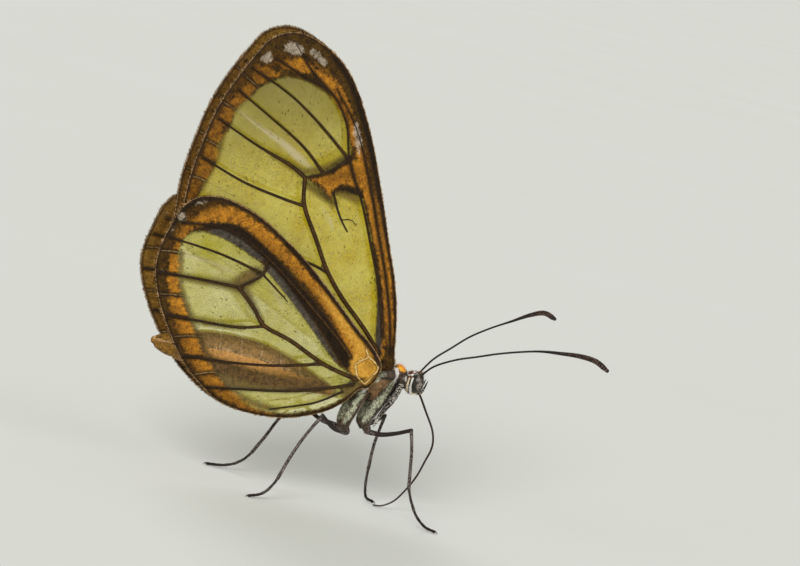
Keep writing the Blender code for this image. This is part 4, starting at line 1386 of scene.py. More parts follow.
FOREWING_MARKS = {
    "closed": (Patch(((-9.9, 24.1), (-8.9, 24.6), (-8.0, 25.3), (-7.0, 26.3), (-5.6, 26.4), (-4.8, 23.7),
        (-5.6, 23.5), (-6.6, 23.6), (-7.4, 23.4), (-7.7, 22.8), (-8.5, 23.3))),),
    "orange": (
        Patch(((-9.9, 24.1), (-9.3, 24.3), (-8.5, 24.45), (-7.9, 24.8), (-7.1, 25.7), (-6.6, 25.9),
            (-5.6, 25.0), (-5.5, 23.9), (-6.0, 24.1), (-6.8, 24.2), (-7.5, 23.8), (-7.6, 23.05),
            (-8.5, 23.65), (-9.3, 23.95))),
        Patch(((-14.2, 32.0), (-13.2, 32.4), (-12.1, 32.6), (-11.4, 32.2), (-11.3, 31.9), (-12.1, 31.6),
            (-13.2, 31.6), (-13.9, 31.7))),
        Patch(((-15.9, 30.9), (-15.5, 31.3), (-14.1, 31.3), (-13.9, 31.0), (-14.7, 30.6), (-15.2, 30.0),
            (-15.6, 30.1))),
        Stroke(((-11.4, 32.2, 0.3), (-10.2, 31.5, 0.42), (-9.1, 30.6, 0.46), (-8.2, 29.4, 0.46),
            (-7.5, 28.4, 0.34), (-6.9, 27.4, 0.24))),
        Stroke(((-6.5, 27.2, 0.25), (-6.0, 26.0, 0.42), (-5.2, 24.3, 0.35), (-4.55, 23.0, 0.3),
            (-3.9, 21.6, 0.22), (-3.3, 20.2, 0.15))),
        Stroke(((-4.4, 23.9, 0.14), (-3.5, 21.8, 0.26), (-2.75, 19.9, 0.34), (-2.1, 18.3, 0.38),
            (-1.6, 16.9, 0.38), (-1.1, 15.5, 0.36), (-0.6, 13.9, 0.3), (-0.3, 12.7, 0.12))),
        Stroke(((-1.85, 17.2, 0.1), (-1.35, 15.2, 0.13), (-0.95, 13.4, 0.14), (-0.7, 11.9, 0.1))),
        Stroke(((-15.7, 29.75, 0.3), (-16.2, 28.9, 0.42), (-16.75, 28.0, 0.34), (-16.95, 27.3, 0.45),
            (-17.35, 26.4, 0.32), (-17.4, 25.7, 0.45), (-17.6, 25.0, 0.3), (-17.4, 24.3, 0.45),
            (-17.7, 23.5, 0.3), (-17.55, 22.8, 0.5), (-18.0, 22.0, 0.24), (-18.0, 21.2, 0.32),
            (-18.05, 20.0, 0.25))),
    ),
    "dusk": (
        Stroke(((-14.0, 32.2, 0.5), (-16.4, 29.6, 0.9), (-17.3, 26.8, 0.9), (-17.9, 23.8, 0.9),
            (-18.2, 20.0, 0.6))),
        Stroke(((-6.6, 28.0, 0.1), (-5.3, 25.6, 0.25), (-4.0, 22.8, 0.2), (-2.6, 19.7, 0.05))),
        Stroke(((-8.6, 24.2, 0.1), (-7.5, 24.6, 0.3), (-6.3, 25.1, 0.35))),
    ),
    "umber": (
        Stroke(((-11.4, 24.75, 0.06), (-10.2, 24.25, 0.16), (-9.4, 24.4, 0.12), (-8.6, 24.9, 0.14),
            (-7.8, 25.6, 0.24), (-7.0, 26.2, 0.2))),
        Stroke(((-10.0, 23.8, 0.14), (-9.2, 23.5, 0.12), (-8.4, 23.1, 0.16), (-7.6, 22.6, 0.18))),
        Stroke(((-7.5, 23.6, 0.12), (-6.7, 23.7, 0.24), (-5.9, 23.7, 0.22), (-5.4, 23.4, 0.1))),
        Stroke(FOREWING_COSTA),
        Stroke(((-1.5, 13.3, 0.07), (-2.2, 16.0, 0.08), (-2.95, 18.1, 0.1), (-3.6, 19.9, 0.12),
            (-4.4, 21.6, 0.14), (-5.5, 23.7, 0.12))),
        Stroke(((-12.3, 32.9, 0.1), (-11.6, 32.4, 0.16), (-10.9, 32.1, 0.12), (-10.0, 31.8, 0.1))),
    ),
    "haze": (
        Stroke(((-10.2, 24.3, 0.3), (-11.4, 24.7, 0.22), (-13.0, 25.2, 0.1))),
        Stroke(((-9.9, 23.6, 0.25), (-8.3, 23.0, 0.3), (-7.4, 22.6, 0.3))),
        Stroke(((-10.0, 24.5, 0.2), (-9.0, 24.85, 0.24), (-8.1, 25.4, 0.3), (-7.4, 26.1, 0.26))),
        Stroke(((-7.2, 23.4, 0.2), (-6.3, 23.4, 0.3), (-5.5, 23.1, 0.2))),
        Stroke(((-15.6, 29.4, 0.25), (-16.6, 27.8, 0.2), (-16.9, 25.9, 0.15), (-17.0, 24.0, 0.2),
            (-17.5, 21.5, 0.15))),
    ),
    "grey": (Stroke(((-2.1, 16.6, 0.1), (-1.7, 15.0, 0.22), (-1.35, 13.4, 0.28), (-1.0, 12.0, 0.24))),),
    # Painted highlight streaks on the bare film.
    "glint": (
        Stroke(((-16.2, 27.8, 0.04), (-14.2, 26.9, 0.16), (-12.3, 26.15, 0.28), (-10.85, 25.35, 0.32),
            (-9.7, 24.8, 0.12))),
        Stroke(((-8.2, 22.2, 0.04), (-7.3, 21.2, 0.16), (-6.9, 20.3, 0.04))),
    ),
    # Pleat lines, along which shade and a highlight line are painted.
    "fold_shade_and_highlight": (
        Stroke(((-16.9, 30.7, 0.03), (-15.1, 29.8, 0.03), (-13.8, 29.1, 0.01))),
        Stroke(((-17.9, 28.3, 0.03), (-15.7, 27.6, 0.03), (-13.0, 26.5, 0.02))),
        Stroke(((-18.6, 25.3, 0.03), (-17.0, 24.9, 0.03), (-15.0, 24.3, 0.01))),
        Stroke(((-18.7, 22.3, 0.03), (-17.5, 22.2, 0.03), (-15.0, 21.5, 0.01))),
    ),
    "pale": (
        Patch(((-14.0, 33.0), (-13.6, 33.6), (-13.0, 33.6), (-12.5, 33.3), (-12.6, 32.9), (-13.3, 32.8))),
        Patch(((-12.0, 33.25), (-11.5, 33.4), (-10.5, 32.7), (-10.8, 32.5))),
        Patch(((-15.3, 32.2), (-15.0, 32.5), (-14.7, 32.2), (-14.8, 31.8), (-15.5, 31.8))),
        Stroke(((-7.3, 28.9, 0.06), (-6.95, 28.1, 0.22), (-6.65, 27.4, 0.22), (-6.4, 26.6, 0.05))),
    ),
    "plum": (
        Stroke(tuple((x + 0.12, z, 0.1) for x, z, _ in FOREWING_COSTA)),
    ),
}

HINDWING_OUTLINE = ((-0.7, 11.2), (-1.8, 12.6), (-3.4, 13.8), (-5.9, 15.9), (-8.4, 17.9), (-10.4, 19.2),
    (-13.0, 20.6), (-15.6, 21.3), (-17.5, 21.1), (-18.7, 20.1), (-19.3, 18.4), (-19.7, 16.3), (-19.5, 14.6),
    (-18.6, 12.5), (-17.4, 10.6), (-16.1, 8.9), (-14.4, 7.4), (-12.4, 6.2), (-9.9, 5.8), (-7.0, 6.0),
    (-4.5, 6.9), (-3.0, 8.0), (-2.0, 9.2), (-1.2, 9.6))
HINDWING_VEINS = {
    "costa": Vein(((-1.0, 11.3), (-1.8, 12.35), (-3.4, 13.55), (-5.9, 15.65), (-8.4, 17.65),
        (-10.4, 18.95)), 0.1, 0.04),
    "radius": Vein(((-3.3, 11.5), (-4.4, 12.5), (-7.3, 14.7), (-10.2, 16.8), (-12.6, 18.2), (-15.3, 19.1),
        (-18.4, 18.9)), 0.15, 0.06),
    "cell_end": Vein(((-11.5, 17.5), (-11.5, 16.3), (-13.1, 15.0)), 0.1, 0.1),
    "recurrent": Vein(((-11.5, 16.3), (-9.6, 15.0), (-9.2, 14.7)), 0.07, 0.03),
    "media_1": Vein(((-11.7, 16.4), (-15.2, 17.2), (-19.1, 17.6)), 0.1, 0.06),
    "media_3": Vein(((-13.1, 15.0), (-16.0, 15.0), (-19.3, 14.9)), 0.11, 0.07),
    "cubitus": Vein(((-2.4, 9.9), (-5.3, 10.6), (-8.1, 11.8), (-10.4, 12.5), (-11.6, 13.7),
        (-13.1, 15.0)), 0.16, 0.13),
    "cubitus_1": Vein(((-10.4, 12.5), (-12.6, 12.0), (-15.9, 11.9), (-18.0, 11.9)), 0.11, 0.07),
    "cubitus_2": Vein(((-5.3, 10.6), (-8.5, 9.8), (-12.3, 9.3), (-15.9, 9.1)), 0.12, 0.07),
    "anal_2": Vein(((-2.6, 9.5), (-6.6, 8.2), (-11.4, 7.4), (-13.6, 7.1)), 0.12, 0.07),
    "anal_3": Vein(((-3.3, 8.8), (-5.3, 7.5), (-8.5, 6.4)), 0.09, 0.05),
}
HINDWING_WINDOW = Patch(((-17.4, 18.4), (-17.9, 17.9), (-18.1, 17.3), (-18.2, 16.6), (-18.0, 15.5),
    (-17.7, 14.4), (-17.1, 13.3), (-16.2, 12.0), (-15.6, 10.9), (-14.7, 9.7), (-13.4, 8.4), (-12.2, 7.5),
    (-11.0, 6.7), (-9.4, 6.2), (-7.0, 6.35), (-4.6, 7.25), (-3.2, 8.3), (-2.2, 9.3), (-2.2, 9.8),
    (-3.2, 10.35), (-4.2, 10.8), (-5.6, 12.0), (-6.8, 13.1), (-8.3, 14.35), (-9.4, 15.3), (-10.5, 16.15),
    (-11.4, 16.8), (-12.4, 17.4), (-13.4, 17.8), (-14.8, 18.3), (-15.9, 18.5), (-16.7, 18.5)))
HINDWING_MARKS = {
    "closed": (Stroke(((-3.4, 11.3, 0.1), (-4.2, 11.9, 0.12))),),
    "thin": (Patch(((-3.6, 8.7), (-4.1, 9.1), (-5.5, 9.7), (-7.0, 10.35), (-8.6, 10.9), (-10.4, 11.35),
        (-12.2, 11.45), (-14.2, 11.4), (-16.0, 11.05), (-17.3, 10.6), (-18.4, 9.8), (-17.3, 8.9),
        (-16.0, 8.55), (-14.2, 8.4), (-12.2, 8.2), (-10.4, 8.05), (-8.6, 8.05), (-7.0, 8.15), (-5.5, 8.2),
        (-4.1, 8.2))),),
    "orange": (
        Patch(((-17.9, 19.1), (-17.4, 19.8), (-16.8, 20.3), (-16.0, 20.65), (-15.1, 20.75), (-14.1, 20.55),
            (-13.2, 20.2), (-12.2, 19.75), (-11.1, 19.1), (-10.0, 18.4), (-8.9, 17.65), (-7.8, 16.9),
            (-6.9, 16.3), (-5.3, 15.2), (-3.4, 13.75), (-1.9, 12.5), (-0.9, 11.4), (-1.2, 10.2),
            (-1.8, 9.7), (-2.9, 10.3), (-3.5, 11.7), (-4.6, 13.1), (-6.0, 14.5), (-7.4, 15.7), (-9.1, 16.9),
            (-10.2, 17.5), (-11.2, 18.0), (-12.2, 18.6), (-13.0, 19.1), (-13.9, 19.5), (-14.8, 19.6),
            (-15.7, 19.45), (-16.5, 19.3), (-17.2, 18.8))),
        Stroke(((-18.0, 18.5, 0.3), (-18.4, 17.7, 0.26), (-18.45, 16.8, 0.22), (-18.35, 15.8, 0.34),
            (-18.15, 14.8, 0.42), (-17.8, 13.7, 0.38), (-17.4, 12.8, 0.48), (-16.75, 11.8, 0.5),
            (-16.0, 10.7, 0.56), (-15.15, 9.5, 0.56), (-14.1, 8.4, 0.52), (-12.9, 7.4, 0.46),
            (-11.4, 6.65, 0.34), (-9.8, 6.2, 0.2), (-8.2, 6.1, 0.08))),
    ),
    "dusk": (
        Stroke(((-15.9, 20.9, 0.2), (-17.7, 19.7, 0.35), (-18.5, 18.0, 0.3), (-18.7, 16.0, 0.2))),
        Stroke(((-17.6, 12.2, 0.25), (-15.9, 9.6, 0.3), (-13.8, 7.6, 0.25), (-11.0, 6.4, 0.3),
            (-8.0, 6.1, 0.3))),
        Stroke(((-13.4, 19.2, 0.15), (-10.8, 17.9, 0.2), (-7.4, 15.6, 0.2), (-5.0, 13.6, 0.1))),
        Stroke(((-1.85, 11.3, 0.12), (-1.5, 11.1, 0.14))),
    ),
    "bright": (
        Patch(((-3.3, 11.6), (-2.4, 12.4), (-0.9, 11.4), (-1.2, 10.2), (-1.7, 9.8), (-2.9, 10.3))),
        Stroke(((-2.5, 12.1, 0.45), (-3.6, 13.2, 0.4), (-5.2, 14.6, 0.3), (-7.0, 16.0, 0.1))),
    ),
    "umber": (
        Stroke(((-3.4, 10.9, 0.28), (-4.2, 11.8, 0.42), (-5.7, 13.3, 0.47), (-7.3, 14.65, 0.45),
            (-8.8, 15.8, 0.4), (-10.2, 16.9, 0.36), (-11.6, 17.85, 0.32), (-12.8, 18.55, 0.3),
            (-13.9, 19.05, 0.3), (-15.0, 19.3, 0.22), (-16.3, 18.95, 0.16), (-17.2, 18.55, 0.08))),
        Stroke(((-10.4, 19.1, 0.14), (-13.0, 20.5, 0.16), (-15.6, 21.2, 0.2), (-17.4, 20.9, 0.24),
            (-18.5, 19.9, 0.2), (-19.1, 18.4, 0.16))),
        Stroke(((-2.4, 9.9, 0.2), (-1.7, 10.1, 0.1))),
        Stroke(((-19.2, 16.6, 0.06), (-17.9, 16.6, 0.1))),
        Stroke(((-19.2, 14.9, 0.12), (-17.6, 14.95, 0.14))),
        Stroke(((-18.6, 13.3, 0.06), (-17.3, 13.45, 0.1))),
        Stroke(((-17.7, 11.9, 0.12), (-16.2, 11.9, 0.18))),
        Stroke(((-17.0, 10.35, 0.1), (-15.8, 10.65, 0.14))),
        Stroke(((-15.9, 9.0, 0.14), (-14.5, 9.35, 0.2))),
        Stroke(((-14.1, 7.95, 0.1), (-13.0, 8.15, 0.14))),
        Stroke(((-12.6, 7.0, 0.1), (-11.9, 7.5, 0.14))),
    ),
    "haze": (
        Patch(((-13.9, 15.05), (-13.05, 16.1), (-12.2, 16.75), (-11.45, 16.5), (-12.1, 15.4),
            (-13.0, 14.75))),
        Stroke(((-17.6, 14.9, 0.22), (-15.9, 14.9, 0.22), (-14.0, 15.0, 0.3), (-12.8, 14.9, 0.36),
            (-11.8, 14.0, 0.25), (-10.8, 12.9, 0.15))),
        Stroke(((-17.2, 11.9, 0.16), (-15.9, 11.9, 0.2), (-13.8, 11.9, 0.16), (-12.0, 12.1, 0.1))),
        Stroke(((-18.0, 16.6, 0.2), (-17.6, 14.4, 0.25), (-16.3, 12.2, 0.28), (-14.8, 10.0, 0.3),
            (-13.0, 8.2, 0.3), (-10.8, 6.8, 0.25), (-8.0, 6.4, 0.15))),
        Stroke(((-3.0, 9.0, 0.5), (-2.3, 9.6, 0.4))),
        Patch(((-14.3, 9.4), (-13.4, 8.0), (-11.7, 7.35), (-9.5, 7.65), (-7.3, 8.0), (-4.7, 8.6),
            (-4.7, 9.15), (-6.5, 9.15), (-8.3, 9.0), (-10.2, 8.95), (-12.0, 9.2))),
    ),
    "grey": (
        Patch(((-16.4, 18.7), (-15.4, 19.1), (-14.1, 18.8), (-12.9, 18.3), (-11.8, 17.8), (-11.5, 17.3),
            (-12.4, 17.4), (-13.4, 17.8), (-14.8, 18.3), (-15.9, 18.5))),
        Stroke(((-11.4, 16.9, 0.22), (-10.7, 16.55, 0.3), (-9.45, 15.6, 0.3), (-8.4, 14.7, 0.26),
            (-7.2, 13.65, 0.22), (-5.8, 12.35, 0.18), (-4.3, 11.0, 0.12))),
    ),
    # Painted highlight streaks on the bare film.
    "glint": (
        Stroke(((-18.0, 16.5, 0.04), (-16.2, 16.5, 0.14), (-14.6, 16.2, 0.18), (-13.2, 15.8, 0.1))),
        Stroke(((-11.0, 15.9, 0.1), (-10.0, 14.9, 0.18), (-9.2, 13.9, 0.06))),
    ),
    # Pleat lines, along which shade and a highlight line are painted.
    "fold_shade_and_highlight": (
        Stroke(((-19.6, 16.5, 0.03), (-18.1, 16.65, 0.03), (-15.5, 16.5, 0.01))),
        Stroke(((-18.9, 13.3, 0.03), (-17.4, 13.5, 0.03), (-15.2, 13.65, 0.01))),
        Stroke(((-17.3, 10.3, 0.03), (-15.6, 10.7, 0.03), (-13.1, 10.9, 0.01))),
        Stroke(((-15.0, 7.8, 0.03), (-13.9, 8.2, 0.03), (-13.0, 8.4, 0.01))),
    ),
    "rib": (
        Stroke(((-2.3, 12.4, 0.03), (-1.95, 11.8, 0.06), (-2.15, 11.6, 0.06), (-2.6, 11.24, 0.06),
            (-2.76, 11.08, 0.06), (-2.7, 10.85, 0.05), (-2.48, 10.3, 0.05), (-2.35, 10.12, 0.05),
            (-1.7, 9.7, 0.05))),
        Stroke(((-1.95, 11.8, 0.06), (-1.7, 11.7, 0.05), (-1.1, 11.32, 0.06), (-0.95, 11.1, 0.07),
            (-1.0, 10.85, 0.06), (-1.5, 9.95, 0.05), (-1.7, 9.7, 0.05))),
    ),
    "pale": (
        Patch(((-18.9, 19.2), (-18.7, 19.6), (-18.3, 19.4), (-18.3, 19.1), (-18.6, 18.8))),
        Stroke(((-17.8, 20.4, 0.05), (-17.4, 20.6, 0.07), (-16.9, 20.7, 0.05))),
        Stroke(((-19.0, 18.5, 0.04), (-19.0, 18.2, 0.04))),
        Stroke(((-19.1, 15.0, 0.08), (-19.0, 14.8, 0.05))),
    ),
    "plum": (Stroke(((-0.8, 11.3, 0.05), (-1.8, 12.55, 0.07), (-3.4, 13.8, 0.08), (-5.9, 15.9, 0.08),
        (-8.4, 17.85, 0.07))),),
}


# Body

BODY_AREAS = {
    "rust": (
        Patch(((-1.35, 9.6), (-1.0, 10.05), (-0.4, 10.2), (0.4, 10.3), (-0.1, 9.5), (-0.5, 8.5),
            (-0.9, 8.6))),
        Stroke(((-2.3, 8.8, 0.12), (-2.55, 8.0, 0.15), (-2.55, 7.1, 0.12), (-2.5, 6.3, 0.1))),
        Stroke(((-1.15, 8.5, 0.12), (-1.35, 7.7, 0.14), (-1.5, 7.0, 0.12), (-1.8, 6.1, 0.12))),
    ),
    "umber": (
        Stroke(((1.1, 10.3, 0.16), (0.85, 9.4, 0.2), (0.5, 8.5, 0.2), (0.15, 7.6, 0.16),
            (-0.25, 6.7, 0.1))),
        Stroke(((-0.95, 9.0, 0.12), (-0.85, 8.2, 0.12), (-0.9, 7.4, 0.1))),
        Stroke(((-1.35, 9.75, 0.1), (-1.6, 9.3, 0.1))),
        Stroke(((-1.1, 10.2, 0.04), (-0.3, 10.4, 0.06), (0.42, 10.4, 0.05), (0.12, 9.6, 0.05),
            (-0.2, 8.9, 0.05), (-0.55, 8.2, 0.05))),
    ),
    "lichen": (
        Stroke(((0.65, 10.3, 0.16), (0.4, 9.7, 0.22), (0.15, 9.1, 0.24), (-0.2, 8.4, 0.26),
            (-0.5, 7.7, 0.26), (-0.8, 6.9, 0.2))),
        Stroke(((-1.4, 9.4, 0.16), (-1.65, 8.7, 0.22), (-1.95, 7.8, 0.24), (-2.2, 7.0, 0.2),
            (-2.35, 6.4, 0.14))),
        Stroke(((-1.1, 9.75, 0.07), (-0.7, 10.2, 0.12), (-0.3, 10.6, 0.12), (-0.25, 11.1, 0.1))),
    ),
    "white": (
        Stroke(((0.55, 11.5, 0.14), (0.8, 11.1, 0.16), (0.8, 10.6, 0.14), (0.65, 10.35, 0.08))),
        Stroke(((1.62, 10.72, 0.1), (1.66, 10.45, 0.09))),
        Stroke(((-1.3, 9.35, 0.1), (-1.45, 9.1, 0.12))),
    ),
}
# Each lump has its middle, its half sizes, and whether it leans with the thorax.
MIDDLE_LUMPS = {
    "collar": ((1.3, 0.0, 10.6), (0.6, 0.78, 0.88), True),
    "shoulders": ((0.6, 0.0, 10.55), (0.7, 0.95, 0.75), True),
    "skull": ((2.46, 0.0, 10.31), (0.7, 0.82, 0.93), False),
    "face": ((2.9, 0.0, 10.3), (0.36, 0.42, 0.72), False),
    "neck": ((1.9, 0.0, 10.25), (0.5, 0.5, 0.55), False),
    "mouth": ((2.95, 0.0, 9.75), (0.26, 0.34, 0.3), False),
}
SIDE_LUMPS = {
    "forewing_hinge": ((0.2, 1.0, 10.5), (0.55, 0.42, 0.5), True),
    "hindwing_hinge": ((-0.9, 0.95, 9.9), (0.7, 0.5, 0.55), True),
    "feeler_socket": ((2.82, 0.3, 11.05), (0.17, 0.16, 0.17), False),
}
SEAMS = (((0.35, 10.4), (-0.15, 9.5), (-0.6, 8.5)), ((-1.3, 9.9), (-1.0, 9.0), (-0.95, 8.0)))
# Each ring has its distance behind the eye's rim and its half width, and each spot its place and size.
EYE_RINGS = {"white": (0.06, 0.07), "umber": (0.19, 0.06), "cream": (0.3, 0.055)}
CROWN_SPOTS = ((2.1, 0.45, 11.0, 0.14), (2.3, 0.25, 11.2, 0.12), (1.85, 0.25, 10.95, 0.13),
               (2.55, 0.35, 11.2, 0.09), (2.95, 0.35, 10.98, 0.11), (2.4, 0.0, 11.28, 0.13))


def behind_eye(places: Array) -> Array:
    """Measure from the eye's visible rim, seen a quarter from behind and above.

    Args:
        places: Points of the head.

    Returns:
        How far each lies behind the rim, negative ahead of it.
    """
    out = np.abs(places[:, 1])
    across = 0.966 * places[:, 0] + 0.259 * out - 2.88
    upward = places[:, 2] - 0.155 * out - 10.27
    return 0.6 * (np.hypot(across / 0.6, upward / 1.15) - 1.0)


@dataclass
class Body:
    """The skin of head, collar, thorax, abdomen and hips as one surface, with its coat.

    The solids are a coat's depth larger, so each radius here is theirs less that depth.
    """

    coat_depth: float = 0.07
    voxel: float = 0.07
    tilt: float = math.radians(28)
    thorax: tuple = (1.75, 1.52, 1.42)
    abdomen: tuple = (
        (-1.6, 8.95, 0.62, 0.62), (-2.7, 8.5, 0.52, 0.52), (-3.6, 8.4, 0.52, 0.52), (-5.0, 8.7, 0.82, 0.8),
        (-6.5, 8.95, 1.15, 1.0), (-8.1, 9.2, 1.5, 1.2), (-9.8, 9.45, 1.72, 1.32), (-11.6, 9.55, 1.7, 1.35),
        (-13.6, 9.6, 1.58, 1.3), (-15.4, 9.5, 1.35, 1.15), (-16.6, 9.4, 1.0, 0.9), (-17.4, 9.4, 0.72, 0.65),
        (-18.1, 9.5, 0.35, 0.35),
    )
    first_ring: float = 2.0
    ring_spacing: float = 1.62
    ring_crease: tuple = (-0.07, 0.12)
    flank_crease: tuple = (-0.06, 0.1)
    seam_crease: tuple = (-0.07, 0.09)
    flank_angle: float = 0.32
    hem_half: float = 0.045
    hem_angle: float = 0.2
    line_half: float = 0.05
    line_angle: float = 0.36
    tan_angles: tuple = (-0.5, 0.3)
    tan_start: float = 2.2
    belly_angle: float = -0.55
    band_start: float = 1.6
    tip_start: float = 14.5
    tuft: tuple = (1.3, 0.0, 11.3)
    tuft_stretch: tuple = (0.95, 0.45, 0.9)
    tuft_size: float = 0.36
    ring_back: float = 1.65
    ring_top: float = 10.74
    crown_back: float = 1.85
    crown_foot: float = 10.76
    backward: tuple = (-1.0, 0.0, -0.25)
    downward: tuple = (-0.3, 0.0, -1.0)
    forward: tuple = (0.6, 0.0, 0.5)
    hip_sides: int = 20
    abdomen_sides: int = 32
    mid_hip: tuple = ((0.15, 0.8, 9.0, 0.5), (-0.3, 0.86, 7.9, 0.43), (-0.72, 0.9, 6.7, 0.34),
                      (-0.5, 0.92, 6.15, 0.27))
    hind_hip: tuple = ((-1.45, 0.75, 9.0, 0.5), (-1.8, 0.8, 7.8, 0.48), (-2.15, 0.86, 6.5, 0.4),
                       (-2.1, 0.9, 5.85, 0.3))
    nodes: tuple = ("head", "collar", "thorax", "abdomen_front", "abdomen_middle", "abdomen_rear",
                    "abdomen_tip", "midleg_right_coxa", "midleg_left_coxa", "hindleg_right_coxa",
                    "hindleg_left_coxa")

    def skin(self) -> Object:
        """Fuse the body's forms into one smooth closed skin, still in millimetres.

        Returns:
            The skin with its creases, marks and the lie of its coat.
        """
        less = self.coat_depth
        forms = [egg(THORAX_CENTRE, tuple(r - less for r in self.thorax), self.tilt)]
        for centre, radii, tilted in MIDDLE_LUMPS.values():
            forms.append(egg(centre, radii, self.tilt if tilted else 0.0))
        forms.append(self.abdomen_form())
        for side in Side:
            for hip in (self.mid_hip, self.hind_hip):
                path = smooth_line(hip, 5)
                line = path[:, :3] * (1.0, side.value, 1.0)
                forms.append(tube(line, path[:, 3] - less / 2, self.hip_sides))
            for (x, y, z), radii, tilted in SIDE_LUMPS.values():
                forms.append(egg((x, side.value * y, z), radii, self.tilt if tilted else 0.0))
        skin = new_piece("body_skin", merged(forms))
        fuse = skin.modifiers.new("fuse", "REMESH")
        fuse.mode, fuse.voxel_size = "VOXEL", self.voxel
        soften = skin.modifiers.new("soften", "SMOOTH")
        soften.factor, soften.iterations = 0.5, 4
        as_mesh(skin)
        skin.data.shade_smooth()
        places = read_rows(skin.data.vertices, "co").astype(float)
        normals = read_rows(skin.data.vertex_normals, "vector").astype(float)
        places += normals * self.relief(places)[:, None]
        skin.data.vertices.foreach_set("co", places.astype(np.float32).ravel())
        skin.data.update()
        store_fields(skin.data, self.fields(places, normals))
        return skin

    def abdomen_form(self) -> Shape:
        """Make the abdomen, a closed loft of upright oval rings.

        Returns:
            The closed shape.
        """
        path = smooth_line(self.abdomen, 6)
        ahead = np.gradient(path[:, :2], axis=0)
        ahead /= np.linalg.norm(ahead, axis=1)[:, None]
        angles = 2 * math.pi * np.arange(self.abdomen_sides) / self.abdomen_sides
        rings = []
        for (x, z, depth, width), (dx, dz) in zip(path, ahead):
            up = (depth - self.coat_depth) * np.sin(angles)
            out = (width - self.coat_depth) * np.cos(angles)
            rings.append(np.column_stack([x + dz * up, out, z - dx * up]))
        tip = np.array([self.abdomen[-1][0] - 0.12, 0.0, self.abdomen[-1][1]])
        return lofted(rings, np.array([self.abdomen[0][0] + 0.1, 0.0, self.abdomen[0][1]]), tip)

    def along(self, places: Array) -> tuple[Array, Array, Array]:
        """Find where points lie on the abdomen.

        Args:
            places: Points in space.

        Returns:
            The length run from the waist, the angle above level seen from behind, and the radius
            there. Points ahead of the abdomen have a negative length.
        """
        path = smooth_line(self.abdomen, 6)
        lengths = np.concatenate([[0.0], np.cumsum(np.linalg.norm(np.diff(path[:, :2], axis=0), axis=1))])
        back = -places[:, 0]
        run = np.interp(back, -path[:, 0], lengths, left=-1.0)
        middle = np.interp(back, -path[:, 0], path[:, 1])
        radius = np.interp(back, -path[:, 0], path[:, 2])
        return run, np.arctan2(places[:, 2] - middle, np.abs(places[:, 1])), radius

    def ring_distance(self, run: Array) -> Array:
        """Return the distance to the nearest joint between two segments of the abdomen."""
        shifted = run - self.first_ring
        return np.abs(shifted - self.ring_spacing * np.round(shifted / self.ring_spacing))

    def relief(self, places: Array) -> Array:
        """Work out the creases between segments and plates.

        Args:
            places: Points of the skin.

        Returns:
            How far the skin stands out at each, negative in a crease.
        """
        run, angle, _ = self.along(places)
        on_abdomen = smooth_step((run - 1.3) / 0.6)
        rings = hump(self.ring_distance(run), *self.ring_crease) * on_abdomen
        flank = hump(angle - self.flank_angle, *self.flank_crease) * on_abdomen
        flat, lines = places[:, [0, 2]], [smooth_line(seam, 4) for seam in SEAMS]
        seams = np.maximum.reduce([stroke_depth(flat, line, np.zeros(len(line))) for line in lines])
        on_thorax = (np.abs(places[:, 1]) > 0.6) * (places[:, 0] < 1.0)
        plates = hump(seams, *self.seam_crease) * on_thorax
        return rings + flank + plates

    def abdomen_marks(self, places: Array) -> dict[str, Array]:
        """Work out the bands along the abdomen and the pale hems of its segments.

        Args:
            places: Points of the skin.

        Returns:
            For each mark's name, its depth at the points.
        """
        run, angle, radius = self.along(places)
        low, high = self.tan_angles
        hems = np.minimum(self.hem_half - self.ring_distance(run), (angle - self.hem_angle) * radius)
        line = self.line_half - np.abs(angle - self.line_angle) * radius
        return {"tan": np.minimum(np.minimum(angle - low, high - angle) * radius, run - self.tan_start),
                "belly": np.minimum((self.belly_angle - angle) * radius, run - self.band_start),
                "back": np.minimum((angle - high) * radius, run - self.band_start),
                "pale": np.where(run > self.first_ring, np.maximum(line, hems), -1.0),
                "tip": run - self.tip_start}

    def mark_head(self, places: Array, from_eye: Array, fields: dict[str, Array]) -> None:
        """Add the rings round the eyes, the crown and its white spots.

        Args:
            places: Points of the skin.
            from_eye: How far each lies outside the eye.
            fields: The marks so far, which take the new ones.
        """
        behind = behind_eye(places)
        held = np.minimum(self.ring_top - places[:, 2], places[:, 0] - self.ring_back)
        for name, (middle, half) in EYE_RINGS.items():
            ring = np.minimum(half - np.abs(behind - middle), held)
            fields[name] = np.maximum(fields.get(name, FAR_OUTSIDE), ring)
        under = np.minimum(0.05 - np.abs(from_eye - 0.07), 10.1 - places[:, 2])
        fields["cream"] = np.maximum(fields["cream"], np.minimum(under, places[:, 0] - 2.2))
        near_side = np.column_stack([places[:, 0], np.abs(places[:, 1]), places[:, 2]])
        for *spot, size in CROWN_SPOTS:
            depth = size - np.linalg.norm(near_side - spot, axis=1)
            fields["white"] = np.maximum(fields["white"], depth)
        behind_face = np.minimum(places[:, 0] - self.crown_back, from_eye)
        fields["crown"] = np.minimum(places[:, 2] - self.crown_foot, behind_face)

